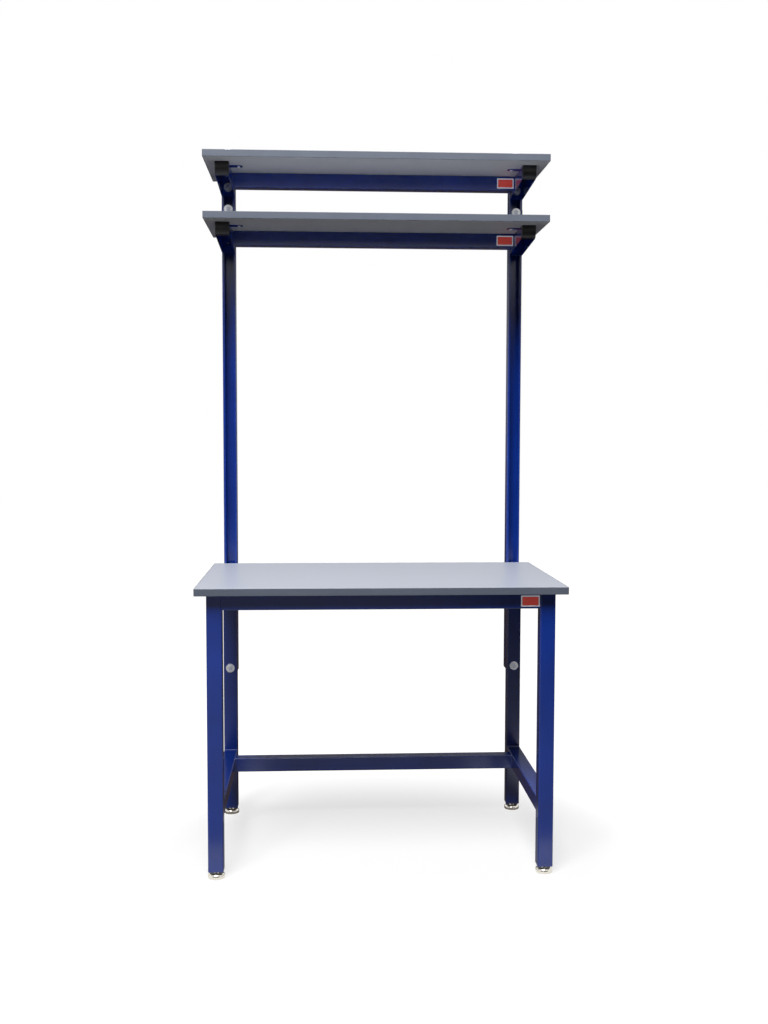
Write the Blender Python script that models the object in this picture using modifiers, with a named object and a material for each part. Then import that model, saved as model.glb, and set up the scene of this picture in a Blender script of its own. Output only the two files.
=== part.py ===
"""A workbench with a steel tube frame, a laminated worktop and two shelves on slotted uprights.

Run it with: blender --background --python part.py

Lengths are metres and +Z is up. X runs from the left of the bench to the right and Y from its
front to its back. The origin is on the floor, in the middle of the bench's footprint.
"""

import math

import bmesh
import bpy
from mathutils import Euler, Vector

MM = 0.001
INCH = 25.4 * MM
DEGREE = math.pi / 180

# Worktop
WORKTOP_WIDTH = 48 * INCH
WORKTOP_DEPTH = 30 * INCH
WORKTOP_HEIGHT = 971 * MM
WORKTOP_THICKNESS = 24 * MM
WORKTOP_CORNER = 5 * MM
EDGE_BAND = 2 * MM

# Tube frame
TUBE = 2 * INCH
TUBE_WALL = 2 * MM
TUBE_CORNER = 4.5 * MM
SIDE_OVERHANG = 36.6 * MM
FRONT_OVERHANG = 36.6 * MM
LOW_RAIL_HEIGHT = 8 * INCH
CROSS_RAIL_SETBACK = 75 * MM

# Levelling glides and the plugs that their studs screw into
LEG_CLEARANCE = 26 * MM
GLIDE_RADIUS = 28.5 * MM
GLIDE_RIM = 8 * MM
GLIDE_EDGE = 1.5 * MM
GLIDE_CROWN = 17 * MM
GLIDE_CROWN_RADIUS = 20 * MM
GLIDE_HEX = 14.3 * MM
GLIDE_HEX_HEIGHT = 3 * MM
STUD_RADIUS = 4.8 * MM
STUD_LENGTH = 64 * MM
PLUG_THICKNESS = 12 * MM

# Slotted uprights, open to the front
UPRIGHT_LENGTH = 1985 * MM
UPRIGHT_OVERLAP = 394 * MM
UPRIGHT_WIDTH = 2 * INCH
UPRIGHT_DEPTH = 50 * MM
UPRIGHT_WALL = 2.5 * MM
UPRIGHT_LIP = 9 * MM
UPRIGHT_CORNER = 4.5 * MM

# Bolts with captive washers, and the strips inside the uprights that they screw into
BOLT_RADIUS = 4.8 * MM
BOLT_HEX = 14.3 * MM
BOLT_HEAD = 6 * MM
WASHER_RADIUS = 16.5 * MM
WASHER_THICKNESS = 2 * MM
BOLT_END = 5 * MM
NUT_STRIP_THICKNESS = 8 * MM
NUT_STRIP_MARGIN = 9 * MM
LOW_BOLT_MARGIN = 20 * MM
HIGH_BOLT_DROP = 36 * MM

# Shelves
TOP_BOLT_MARGIN = 11 * MM
SHELF_GAP = 38 * MM
SHELF_DEPTH = 418 * MM
SHELF_THICKNESS = 24 * MM
SHELF_CORNER = 3 * MM

# Shelf arms: channels open below, with a plate that bolts to the upright
ARM_SETBACK = 70 * MM
ARM_WIDTH = 50 * MM
ARM_WALL = 2.5 * MM
ARM_TIP_HEIGHT = 46 * MM
ARM_ROOT_HEIGHT = 64 * MM
PLATE_THICKNESS = 4 * MM
UPPER_BOLT_RISE = 98 * MM
LOWER_BOLT_DROP = 32 * MM
PLATE_MARGIN = 11 * MM
TAB_SETBACK = 79 * MM
TAB_REACH = 30 * MM
TAB_WIDTH = 30 * MM
TAB_THICKNESS = 2 * MM

# Plastic caps in the open ends of the arms
CAP_DEPTH = 22 * MM
CAP_FACE = 18 * MM
CAP_PLUG_LENGTH = 16 * MM
CAP_PLUG_HEIGHT = 36 * MM

# Rail between the arms of a shelf
SHELF_RAIL_HEIGHT = 53 * MM
SHELF_RAIL_DEPTH = 50 * MM
SHELF_RAIL_SETBACK = 62 * MM

# Screws that hold the shelf boards to the arms' tabs
SCREW_RADIUS = 2.4 * MM
SCREW_HEAD_RADIUS = 5.5 * MM
SCREW_HEAD_HEIGHT = 3 * MM
SCREW_BITE = 14 * MM

# Plain label plates
LABEL_WIDTH = 62 * MM
LABEL_HEIGHT = 37 * MM
LABEL_THICKNESS = 0.8 * MM
LABEL_CORNER = 2 * MM
LABEL_INSET = 3 * MM

# Clearances
SEAT_GAP = 0.3 * MM
HOLE_CLEARANCE = 0.5 * MM
STUD_CLEARANCE = 0.4 * MM
NOTCH_CLEARANCE = 2 * MM
SLIDE_CLEARANCE = 2.5 * MM
OVERRUN = 5 * MM
WELD_DISTANCE = 0.01 * MM

# Smoothness of curved faces
CORNER_STEPS = 3
ROUND_STEPS = 24
END_STEPS = 10
HEX_SIDES = 6
SHARP_ANGLE = 30 * DEGREE

# Places worked out from the sizes
FRONT = -(WORKTOP_DEPTH + SEAT_GAP + UPRIGHT_DEPTH) / 2
REAR = FRONT + WORKTOP_DEPTH
UPRIGHT_FRONT = REAR + SEAT_GAP
FRAME_TOP = WORKTOP_HEIGHT - WORKTOP_THICKNESS - SEAT_GAP
LEG_X = WORKTOP_WIDTH / 2 - SIDE_OVERHANG - TUBE / 2
FRONT_LEG_Y = FRONT + FRONT_OVERHANG + TUBE / 2
REAR_LEG_Y = REAR - TUBE / 2
APRON_Z = FRAME_TOP - TUBE / 2
LOW_RAIL_Z = LOW_RAIL_HEIGHT + TUBE / 2
UPRIGHT_START = FRAME_TOP - UPRIGHT_OVERLAP
LEG_BOLT_HEIGHTS = (UPRIGHT_START + LOW_BOLT_MARGIN, FRAME_TOP - TUBE - HIGH_BOLT_DROP)
CROSS_RAIL_Y = REAR_LEG_Y - TUBE / 2 - CROSS_RAIL_SETBACK - TUBE / 2
BETWEEN_LEGS_X = 2 * LEG_X - TUBE - 2 * SEAT_GAP
BETWEEN_LEGS_Y = REAR_LEG_Y - FRONT_LEG_Y - TUBE - 2 * SEAT_GAP
NUT_STRIP_WIDTH = UPRIGHT_WIDTH - 2 * UPRIGHT_WALL - 2 * SLIDE_CLEARANCE
NUT_STRIP_Y = UPRIGHT_WALL + SEAT_GAP + NUT_STRIP_THICKNESS / 2
ARM_INNER_X = LEG_X - ARM_WIDTH / 2
SHELF_FRONT = UPRIGHT_DEPTH - SHELF_DEPTH
CAP_FRONT = SHELF_FRONT + ARM_SETBACK
ARM_FRONT = CAP_FRONT + CAP_DEPTH + SEAT_GAP
PLATE_FRONT = -SEAT_GAP - PLATE_THICKNESS
PLATE_TOP = UPPER_BOLT_RISE + PLATE_MARGIN
ARM_BOLT_HEIGHTS = (-LOWER_BOLT_DROP, UPPER_BOLT_RISE)
UPPER_SHELF_HEIGHT = UPRIGHT_START + UPRIGHT_LENGTH - TOP_BOLT_MARGIN - UPPER_BOLT_RISE
LOWER_SHELF_HEIGHT = UPPER_SHELF_HEIGHT - ARM_ROOT_HEIGHT - SHELF_GAP - PLATE_TOP
TAB_Y = CAP_FRONT + TAB_SETBACK
TAB_X = ARM_INNER_X - TAB_REACH

SIDES = {"left": -1, "right": 1}
LEG_ROWS = {"front": FRONT_LEG_Y, "rear": REAR_LEG_Y}

# Turns that lay a shape made along +Z along another direction
NO_TURN = Euler((0, 0, 0))
TURN_TO_X = Euler((90 * DEGREE, 0, 90 * DEGREE))
TURN_TO_FRONT = Euler((90 * DEGREE, 0, 0))


def clear_scene():
    """Remove the objects of the open scene."""
    for item in list(bpy.data.objects):
        bpy.data.objects.remove(item)


def make_collection(name):
    """Add an empty collection to the scene."""
    collection = bpy.data.collections.new(name)
    bpy.context.scene.collection.children.link(collection)
    return collection


def make_material(name, color, roughness, metallic=0.0):
    """Make a plain material of one colour."""
    material = bpy.data.materials.new(name)
    material.use_nodes = True
    shader = material.node_tree.nodes["Principled BSDF"]
    shader.inputs["Base Color"].default_value = (*color, 1.0)
    shader.inputs["Roughness"].default_value = roughness
    shader.inputs["Metallic"].default_value = metallic
    return material


clear_scene()
BENCH = make_collection("workbench")
CUTTERS = make_collection("cutters")
BLUE_PAINT = make_material("blue_paint", (0.028, 0.042, 0.24), 0.3)
LAMINATE = make_material("grey_laminate", (0.55, 0.6, 0.7), 0.45)
BAND = make_material("grey_edge_band", (0.14, 0.17, 0.22), 0.4)
ZINC = make_material("zinc", (0.72, 0.73, 0.75), 0.3, 1.0)
BLACK_PLASTIC = make_material("black_plastic", (0.02, 0.02, 0.022), 0.5)
PLUG_STEEL = make_material("plug_steel", (0.3, 0.3, 0.32), 0.5, 1.0)
RED_LABEL = make_material("red_label", (0.55, 0.03, 0.03), 0.35)


def place(mesh, name, location, turn=NO_TURN, parent=None, material=None):
    """Put a mesh in the bench as an object of its own, smooth where it is round."""
    mesh.shade_smooth()
    mesh.set_sharp_from_angle(angle=SHARP_ANGLE)
    item = bpy.data.objects.new(name, mesh)
    item.location = location
    item.rotation_euler = turn
    item.parent = parent
    if material:
        mesh.materials.append(material)
        BENCH.objects.link(item)
    else:
        item.hide_render = True
        item.display_type = "WIRE"
        CUTTERS.objects.link(item)
    return item


def combine(item, other, operation):
    """Cut another shape out of an object, or join it on."""
    modifier = item.modifiers.new(other.name, "BOOLEAN")
    modifier.operation = operation
    modifier.solver = "EXACT"
    modifier.object = other


def box_mesh(name, size):
    """A box around its centre."""
    mesh = bpy.data.meshes.new(name)
    shape = bmesh.new()
    bmesh.ops.create_cube(shape, size=1)
    bmesh.ops.scale(shape, vec=size, verts=shape.verts)
    shape.to_mesh(mesh)
    shape.free()
    return mesh


def round_mesh(name, radius, length, sides=ROUND_STEPS):
    """A straight round or many-sided bar around its centre, along Z."""
    mesh = bpy.data.meshes.new(name)
    shape = bmesh.new()
    bmesh.ops.create_cone(shape, cap_ends=True, segments=sides, radius1=radius, radius2=radius, depth=length)
    shape.to_mesh(mesh)
    shape.free()
    return mesh


def hex_mesh(name, across_flats, length):
    """A hexagonal bar around its centre, along Z."""
    return round_mesh(name, across_flats / math.sqrt(3), length, HEX_SIDES)


def outline_mesh(name, outlines, height):
    """Flat outlines, the later ones holes in the first, raised to a height around the plane Z = 0."""
    curve = bpy.data.curves.new(name, "CURVE")
    curve.dimensions = "2D"
    curve.fill_mode = "BOTH"
    curve.extrude = height / 2
    for points in outlines:
        spline = curve.splines.new("POLY")
        spline.points.add(len(points) - 1)
        for target, (x, y) in zip(spline.points, points):
            target.co = (x, y, 0, 1)
        spline.use_cyclic_u = True
    guide = bpy.data.objects.new(name, curve)
    CUTTERS.objects.link(guide)
    depsgraph = bpy.context.evaluated_depsgraph_get()
    mesh = bpy.data.meshes.new_from_object(guide.evaluated_get(depsgraph))
    bpy.data.objects.remove(guide)
    bpy.data.curves.remove(curve)
    mesh.name = name
    shape = bmesh.new()
    shape.from_mesh(mesh)
    bmesh.ops.remove_doubles(shape, verts=shape.verts, dist=WELD_DISTANCE)
    bmesh.ops.recalc_face_normals(shape, faces=shape.faces)
    shape.to_mesh(mesh)
    shape.free()
    return mesh


def turned_mesh(name, profile):
    """A solid of revolution from (radius, height) points that run from its top down to its foot."""
    mesh = bpy.data.meshes.new(name)
    shape = bmesh.new()
    corners = [shape.verts.new((radius, 0, height)) for radius, height in profile]
    for start, end in zip(corners, corners[1:]):
        shape.edges.new((start, end))
    shape.to_mesh(mesh)
    shape.free()
    guide = bpy.data.objects.new(name, mesh)
    CUTTERS.objects.link(guide)
    screw = guide.modifiers.new("turn", "SCREW")
    screw.steps = ROUND_STEPS
    screw.render_steps = ROUND_STEPS
    screw.use_merge_vertices = True
    screw.merge_threshold = WELD_DISTANCE
    depsgraph = bpy.context.evaluated_depsgraph_get()
    turned = bpy.data.meshes.new_from_object(guide.evaluated_get(depsgraph))
    turned.name = name
    bpy.data.objects.remove(guide)
    return turned


def arc(center, radius, start, end, steps):
    """Points along an arc, from one angle to another."""
    angles = [start + (end - start) * step / steps for step in range(steps + 1)]
    return [(center[0] + radius * math.cos(a), center[1] + radius * math.sin(a)) for a in angles]


def rounded_rectangle(width, depth, radius):
    """The outline of a rectangle with round corners, around its centre."""
    x, y = width / 2 - radius, depth / 2 - radius
    points = []
    for quarter, center in enumerate(((x, y), (-x, y), (-x, -y), (x, -y))):
        start = quarter * math.pi / 2
        points += arc(center, radius, start, start + math.pi / 2, CORNER_STEPS)
    return points


def tube_mesh(name, width, depth, length):
    """A length of rectangular tube with open ends, along Z."""
    inner_corner = TUBE_CORNER - TUBE_WALL
    outer = rounded_rectangle(width, depth, TUBE_CORNER)
    inner = rounded_rectangle(width - 2 * TUBE_WALL, depth - 2 * TUBE_WALL, inner_corner)
    return outline_mesh(name, [outer, inner], length)


def bolt_mesh(name, grip):
    """A shank with a captive washer: the washer's seat at Z = 0, the shank below it."""
    profile = [(0, WASHER_THICKNESS), (WASHER_RADIUS, WASHER_THICKNESS), (WASHER_RADIUS, 0),
               (BOLT_RADIUS, 0), (BOLT_RADIUS, -grip), (0, -grip)]
    return turned_mesh(name, profile)


def add_bolt(name, location, grip, parent=None):
    """A hexagon bolt with its washer, seated on a face that looks to the front."""
    bolt = place(bolt_mesh(name, grip), name, location, TURN_TO_FRONT, parent, ZINC)
    head_length = BOLT_HEAD + WASHER_THICKNESS / 2
    head_place = Vector(location) - Vector((0, WASHER_THICKNESS / 2 + head_length / 2, 0))
    head_name = name + "_head"
    head_mesh = hex_mesh(head_name, BOLT_HEX, head_length)
    combine(bolt, place(head_mesh, head_name, head_place, TURN_TO_FRONT, parent), "UNION")


def cut_hole(item, name, location, radius, length, turn, parent=None):
    """Cut a round hole around a point of an object."""
    cutter = place(round_mesh(name, radius, length), name, location, turn, parent)
    combine(item, cutter, "DIFFERENCE")


def add_worktop():
    """The board and the band around its four edges."""
    size = (WORKTOP_WIDTH - 2 * EDGE_BAND - 2 * SEAT_GAP, WORKTOP_DEPTH - 2 * EDGE_BAND - 2 * SEAT_GAP)
    corner = WORKTOP_CORNER - EDGE_BAND - SEAT_GAP
    middle = (0, (FRONT + REAR) / 2, WORKTOP_HEIGHT - WORKTOP_THICKNESS / 2)
    board = outline_mesh("worktop_board", [rounded_rectangle(*size, corner)], WORKTOP_THICKNESS)
    place(board, "worktop_board", middle, material=LAMINATE)
    outer = rounded_rectangle(WORKTOP_WIDTH, WORKTOP_DEPTH, WORKTOP_CORNER)
    inner_width, inner_depth = WORKTOP_WIDTH - 2 * EDGE_BAND, WORKTOP_DEPTH - 2 * EDGE_BAND
    inner = rounded_rectangle(inner_width, inner_depth, WORKTOP_CORNER - EDGE_BAND)
    band = outline_mesh("worktop_edge_band", [outer, inner], WORKTOP_THICKNESS)
    place(band, "worktop_edge_band", middle, material=BAND)


def add_leg(row, side):
    """A leg, with the holes of the upright's bolts in a rear one."""
    name = f"{row}_{side}_leg"
    length = FRAME_TOP - LEG_CLEARANCE
    x, y = SIDES[side] * LEG_X, LEG_ROWS[row]
    middle = (x, y, LEG_CLEARANCE + length / 2)
    leg = place(tube_mesh(name, TUBE, TUBE, length), name, middle, material=BLUE_PAINT)
    if row == "rear":
        for step, height in enumerate(LEG_BOLT_HEIGHTS):
            cut_hole(leg, f"{name}_hole_{step}", (x, y, height), BOLT_RADIUS + HOLE_CLEARANCE,
                     TUBE + OVERRUN, TURN_TO_FRONT)


def add_rail(name, length, location, turn):
    """A tube of the frame that runs between two others."""
    place(tube_mesh(name, TUBE, TUBE, length), name, location, turn, material=BLUE_PAINT)


def add_frame():
    """The legs, the aprons under the worktop and the low rails."""
    for row in LEG_ROWS:
        for side in SIDES:
            add_leg(row, side)
        add_rail(f"{row}_apron", BETWEEN_LEGS_X, (0, LEG_ROWS[row], APRON_Z), TURN_TO_X)
    middle = (FRONT_LEG_Y + REAR_LEG_Y) / 2
    for side, sign in SIDES.items():
        for name, height in ((f"{side}_apron", APRON_Z), (f"{side}_low_rail", LOW_RAIL_Z)):
            add_rail(name, BETWEEN_LEGS_Y, (sign * LEG_X, middle, height), TURN_TO_FRONT)
    add_rail("low_cross_rail", BETWEEN_LEGS_X, (0, CROSS_RAIL_Y, LOW_RAIL_Z), TURN_TO_X)


def glide_profile():
    """Half the section of a glide: its stud, its domed base and its flat foot."""
    dome = arc((0, 0), 1, math.pi / 2, 0, CORNER_STEPS)
    width, height = GLIDE_RADIUS - GLIDE_CROWN_RADIUS, GLIDE_CROWN - GLIDE_RIM
    stud = [(0, STUD_LENGTH), (STUD_RADIUS, STUD_LENGTH), (STUD_RADIUS, GLIDE_CROWN)]
    base = [(GLIDE_CROWN_RADIUS + width * x, GLIDE_RIM + height * y) for x, y in dome]
    return stud + base + [(GLIDE_RADIUS, GLIDE_EDGE), (GLIDE_RADIUS - GLIDE_EDGE, 0), (0, 0)]


def add_glide(row, side):
    """A levelling glide on its stud, and the threaded plug in the leg above it."""
    x, y = SIDES[side] * LEG_X, LEG_ROWS[row]
    plug_size = TUBE - 2 * TUBE_WALL - 2 * SEAT_GAP
    plug_name = f"{row}_{side}_leg_plug"
    hole = arc((0, 0), STUD_RADIUS + STUD_CLEARANCE, 0, 2 * math.pi, ROUND_STEPS)[:-1]
    corner = TUBE_CORNER - TUBE_WALL
    plug = outline_mesh(plug_name, [rounded_rectangle(plug_size, plug_size, corner), hole], PLUG_THICKNESS)
    place(plug, plug_name, (x, y, LEG_CLEARANCE + PLUG_THICKNESS / 2), material=PLUG_STEEL)
    name = f"{row}_{side}_glide"
    glide = place(turned_mesh(name, glide_profile()), name, (x, y, 0), material=ZINC)
    hex_length = GLIDE_HEX_HEIGHT + GLIDE_EDGE
    hex_place = (x, y, GLIDE_CROWN - GLIDE_EDGE + hex_length / 2)
    collar = place(hex_mesh(name + "_hex", GLIDE_HEX, hex_length), name + "_hex", hex_place)
    combine(glide, collar, "UNION")


def upright_outline():
    """The section of an upright, with its slot to the front and its front faces on Y = 0."""
    half = UPRIGHT_WIDTH / 2
    slot = half - UPRIGHT_LIP
    outer, inner = UPRIGHT_CORNER, UPRIGHT_CORNER - UPRIGHT_WALL
    back = UPRIGHT_DEPTH
    quarter = math.pi / 2
    right = [(slot, 0)] + arc((half - outer, outer), outer, -quarter, 0, CORNER_STEPS)
    right += arc((half - outer, back - outer), outer, 0, quarter, CORNER_STEPS)
    inside = arc((half - outer, back - outer), inner, quarter, 0, CORNER_STEPS)
    inside += arc((half - outer, outer), inner, 0, -quarter, CORNER_STEPS) + [(slot, UPRIGHT_WALL)]
    mirrored = [[(-x, y) for x, y in reversed(points)] for points in (right, inside)]
    return right + mirrored[0] + [(-x, y) for x, y in reversed(inside)] + inside


def add_uprights():
    """The two slotted uprights, bolted behind the rear legs."""
    grip = TUBE + SEAT_GAP + NUT_STRIP_Y + NUT_STRIP_THICKNESS / 2 + BOLT_END
    for side, sign in SIDES.items():
        name = f"{side}_upright"
        place(outline_mesh(name, [upright_outline()], UPRIGHT_LENGTH), name,
              (sign * LEG_X, UPRIGHT_FRONT, UPRIGHT_START + UPRIGHT_LENGTH / 2), material=BLUE_PAINT)
        for place_name, height in zip(("low", "high"), LEG_BOLT_HEIGHTS):
            bolt_place = (sign * LEG_X, REAR_LEG_Y - TUBE / 2 - SEAT_GAP, height)
            add_bolt(f"{side}_upright_bolt_{place_name}", bolt_place, grip)
        add_nut_strip(f"{side}_upright_nut_strip", sign * LEG_X, LEG_BOLT_HEIGHTS, None)


def add_nut_strip(name, x, heights, parent):
    """A strip inside an upright, behind the slot, with a threaded hole at each height."""
    base = 0 if parent else UPRIGHT_FRONT
    length = heights[1] - heights[0] + 2 * NUT_STRIP_MARGIN
    center = (x, base + NUT_STRIP_Y, (heights[0] + heights[1]) / 2)
    mesh = box_mesh(name, (NUT_STRIP_WIDTH, NUT_STRIP_THICKNESS, length))
    strip = place(mesh, name, center, parent=parent, material=ZINC)
    for step, height in enumerate(heights):
        cut_hole(strip, f"{name}_hole_{step}", (x, base + NUT_STRIP_Y, height), BOLT_RADIUS + SEAT_GAP,
                 NUT_STRIP_THICKNESS + OVERRUN, TURN_TO_FRONT, parent)


def add_label(name, front, height, parent=None):
    """A plain label plate at the right end of a rail, on its front face."""
    x = ARM_INNER_X - LABEL_INSET - LABEL_WIDTH / 2
    mesh = outline_mesh(name, [rounded_rectangle(LABEL_WIDTH, LABEL_HEIGHT, LABEL_CORNER)], LABEL_THICKNESS)
    place(mesh, name, (x, front - SEAT_GAP - LABEL_THICKNESS / 2, height), TURN_TO_FRONT, parent, RED_LABEL)


def add_shelf_board(shelf, parent):
    """The board, cut out around the uprights and drilled for its screws, with a band on three edges."""
    band_inset = EDGE_BAND + SEAT_GAP
    width, depth = WORKTOP_WIDTH - 2 * band_inset, SHELF_DEPTH - band_inset
    middle = (0, UPRIGHT_DEPTH - depth / 2, SHELF_THICKNESS / 2)
    name = f"{shelf}_board"
    mesh = box_mesh(name, (width, depth, SHELF_THICKNESS))
    board = place(mesh, name, middle, parent=parent, material=LAMINATE)
    notch_front = PLATE_FRONT - NOTCH_CLEARANCE
    notch_size = (UPRIGHT_WIDTH + 2 * NOTCH_CLEARANCE, UPRIGHT_DEPTH - notch_front + OVERRUN,
                  SHELF_THICKNESS + 2 * OVERRUN)
    for side, sign in SIDES.items():
        notch_name = f"{name}_{side}_notch"
        notch_place = (sign * LEG_X, notch_front + notch_size[1] / 2, SHELF_THICKNESS / 2)
        notch = place(box_mesh(notch_name, notch_size), notch_name, notch_place, parent=parent)
        combine(board, notch, "DIFFERENCE")
        cut_hole(board, f"{name}_{side}_pilot", (sign * TAB_X, TAB_Y, 0), SCREW_RADIUS + SEAT_GAP,
                 2 * (SCREW_BITE + SEAT_GAP), NO_TURN, parent)
    add_shelf_band(shelf, parent)


def add_shelf_band(shelf, parent):
    """The band along the front and the two ends of a shelf board."""
    name = f"{shelf}_edge_band"
    half, front, back = WORKTOP_WIDTH / 2, SHELF_FRONT, UPRIGHT_DEPTH
    quarter = math.pi / 2
    corner_y = front + SHELF_CORNER
    outer = arc((SHELF_CORNER - half, corner_y), SHELF_CORNER, 2 * quarter, 3 * quarter, CORNER_STEPS)
    outer += arc((half - SHELF_CORNER, corner_y), SHELF_CORNER, 3 * quarter, 4 * quarter, CORNER_STEPS)
    inner_x, inner_y = half - EDGE_BAND, front + EDGE_BAND
    inner = [(inner_x, back), (inner_x, inner_y), (-inner_x, inner_y), (-inner_x, back)]
    outline = [(-half, back)] + outer + [(half, back)] + inner
    place(outline_mesh(name, [outline], SHELF_THICKNESS), name, (0, 0, SHELF_THICKNESS / 2), parent=parent,
          material=BAND)


def arm_profile(front, back, top, growth=0):
    """The side view of an arm between two places along it, deeper than the arm by a growth."""
    slope = (ARM_ROOT_HEIGHT - ARM_TIP_HEIGHT) / (-SEAT_GAP - ARM_FRONT)
    depths = [ARM_TIP_HEIGHT + slope * (y - ARM_FRONT) + growth for y in (front, back)]
    return [(front, -depths[0]), (back, -depths[1]), (back, top), (front, top)]


def add_arm(shelf, side, parent):
    """A shelf arm: a channel, a plate on the upright and a tab for the board's screw."""
    name = f"{shelf}_{side}_arm"
    middle = (SIDES[side] * LEG_X, 0, 0)
    top = -SEAT_GAP
    arm_mesh = outline_mesh(name, [arm_profile(ARM_FRONT, -SEAT_GAP, top)], ARM_WIDTH)
    arm = place(arm_mesh, name, middle, TURN_TO_X, parent, BLUE_PAINT)
    hollow_name = name + "_hollow"
    hollow = arm_profile(ARM_FRONT - OVERRUN, PLATE_FRONT, top - ARM_WALL, OVERRUN)
    hollow_mesh = outline_mesh(hollow_name, [hollow], ARM_WIDTH - 2 * ARM_WALL)
    combine(arm, place(hollow_mesh, hollow_name, middle, TURN_TO_X, parent), "DIFFERENCE")
    join_plate(arm, side, parent)
    join_tab(arm, side, parent)


def join_plate(arm, side, parent):
    """Join on the plate that lies against the upright, with its two bolt holes."""
    name = arm.name + "_plate"
    x = SIDES[side] * LEG_X
    height = PLATE_TOP + ARM_ROOT_HEIGHT / 2
    location = (x, -SEAT_GAP - PLATE_THICKNESS / 2, PLATE_TOP - height / 2)
    mesh = box_mesh(name, (ARM_WIDTH, PLATE_THICKNESS, height))
    combine(arm, place(mesh, name, location, parent=parent), "UNION")
    for step, height in enumerate(ARM_BOLT_HEIGHTS):
        cut_hole(arm, f"{name}_hole_{step}", (x, PLATE_FRONT, height), BOLT_RADIUS + HOLE_CLEARANCE,
                 2 * (PLATE_THICKNESS + OVERRUN), TURN_TO_FRONT, parent)


def join_tab(arm, side, parent):
    """Join on the tab under the board, with the hole for its screw."""
    name = arm.name + "_tab"
    x = SIDES[side] * TAB_X
    mesh = outline_mesh(name, [tab_outline(SIDES[side])], TAB_THICKNESS)
    location = (x, TAB_Y, -SEAT_GAP - TAB_THICKNESS / 2)
    combine(arm, place(mesh, name, location, parent=parent), "UNION")
    cut_hole(arm, name + "_hole", (x, TAB_Y, -SEAT_GAP), SCREW_RADIUS + HOLE_CLEARANCE, 2 * OVERRUN,
             NO_TURN, parent)


def tab_outline(sign):
    """A tab with a round end about the screw, whose tail runs into the top of the arm."""
    radius = TAB_WIDTH / 2
    tail = TAB_REACH + ARM_WIDTH / 2
    quarter = math.pi / 2
    points = arc((0, 0), radius, quarter, 3 * quarter, END_STEPS) + [(tail, -radius), (tail, radius)]
    return [(sign * x, y) for x, y in points]


def cap_outline():
    """The side view of a cap: an upright face that curves back into its floor."""
    drop = ARM_TIP_HEIGHT - CAP_FACE
    curve = arc((0, 0), 1, math.pi, 1.5 * math.pi, END_STEPS)
    points = [(CAP_FRONT + CAP_DEPTH * (1 + x), -CAP_FACE + drop * y) for x, y in curve]
    return points + [(CAP_FRONT + CAP_DEPTH, -SEAT_GAP), (CAP_FRONT, -SEAT_GAP)]


def add_cap(shelf, side, parent):
    """The plastic cap on the tip of an arm, with a plug that sits inside the channel."""
    name = f"{shelf}_{side}_arm_cap"
    x = SIDES[side] * LEG_X
    cap_mesh = outline_mesh(name, [cap_outline()], ARM_WIDTH)
    cap = place(cap_mesh, name, (x, 0, 0), TURN_TO_X, parent, BLACK_PLASTIC)
    plug_name = name + "_plug"
    plug_size = (ARM_WIDTH - 2 * ARM_WALL - 2 * SEAT_GAP, CAP_PLUG_LENGTH + OVERRUN, CAP_PLUG_HEIGHT)
    plug_y = CAP_FRONT + CAP_DEPTH + CAP_PLUG_LENGTH - plug_size[1] / 2
    plug_z = -2 * SEAT_GAP - ARM_WALL - CAP_PLUG_HEIGHT / 2
    plug = place(box_mesh(plug_name, plug_size), plug_name, (x, plug_y, plug_z), parent=parent)
    combine(cap, plug, "UNION")


def add_shelf_rail(shelf, parent):
    """The rail between the two arms, with its label."""
    name = f"{shelf}_rail"
    length = 2 * ARM_INNER_X - 2 * SEAT_GAP
    y = -SHELF_RAIL_SETBACK - SHELF_RAIL_DEPTH / 2
    z = -SEAT_GAP - SHELF_RAIL_HEIGHT / 2
    mesh = tube_mesh(name, SHELF_RAIL_DEPTH, SHELF_RAIL_HEIGHT, length)
    place(mesh, name, (0, y, z), TURN_TO_X, parent, BLUE_PAINT)
    add_label(f"{shelf}_label", y - SHELF_RAIL_DEPTH / 2, z, parent)


def add_screw(shelf, side, parent):
    """A pan-head screw up through an arm's tab into the board."""
    name = f"{shelf}_{side}_screw"
    seat = TAB_THICKNESS + 2 * SEAT_GAP
    foot = -seat - SCREW_HEAD_HEIGHT
    profile = [(0, SCREW_BITE), (SCREW_RADIUS, SCREW_BITE), (SCREW_RADIUS, -seat),
               (SCREW_HEAD_RADIUS, -seat), (SCREW_HEAD_RADIUS, -seat - SCREW_HEAD_HEIGHT / 2),
               (SCREW_HEAD_RADIUS - SCREW_HEAD_HEIGHT / 2, foot), (0, foot)]
    place(turned_mesh(name, profile), name, (SIDES[side] * TAB_X, TAB_Y, 0), parent=parent, material=ZINC)


def add_shelf(shelf, height, bolts):
    """A shelf with its arms, carried by an empty on the line that it slides along."""
    slider = bpy.data.objects.new(f"{shelf}_slider", None)
    slider.location = (0, UPRIGHT_FRONT, height)
    BENCH.objects.link(slider)
    add_shelf_board(shelf, slider)
    add_shelf_rail(shelf, slider)
    grip = PLATE_THICKNESS + SEAT_GAP + SEAT_GAP + NUT_STRIP_Y + NUT_STRIP_THICKNESS / 2 + BOLT_END
    for side, sign in SIDES.items():
        add_arm(shelf, side, slider)
        add_cap(shelf, side, slider)
        add_screw(shelf, side, slider)
        add_nut_strip(f"{shelf}_{side}_nut_strip", sign * LEG_X, ARM_BOLT_HEIGHTS, slider)
        for place_name, bolt_height in bolts.items():
            bolt_place = (sign * LEG_X, PLATE_FRONT - SEAT_GAP, bolt_height)
            add_bolt(f"{shelf}_{side}_bolt_{place_name}", bolt_place, grip, slider)


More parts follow.
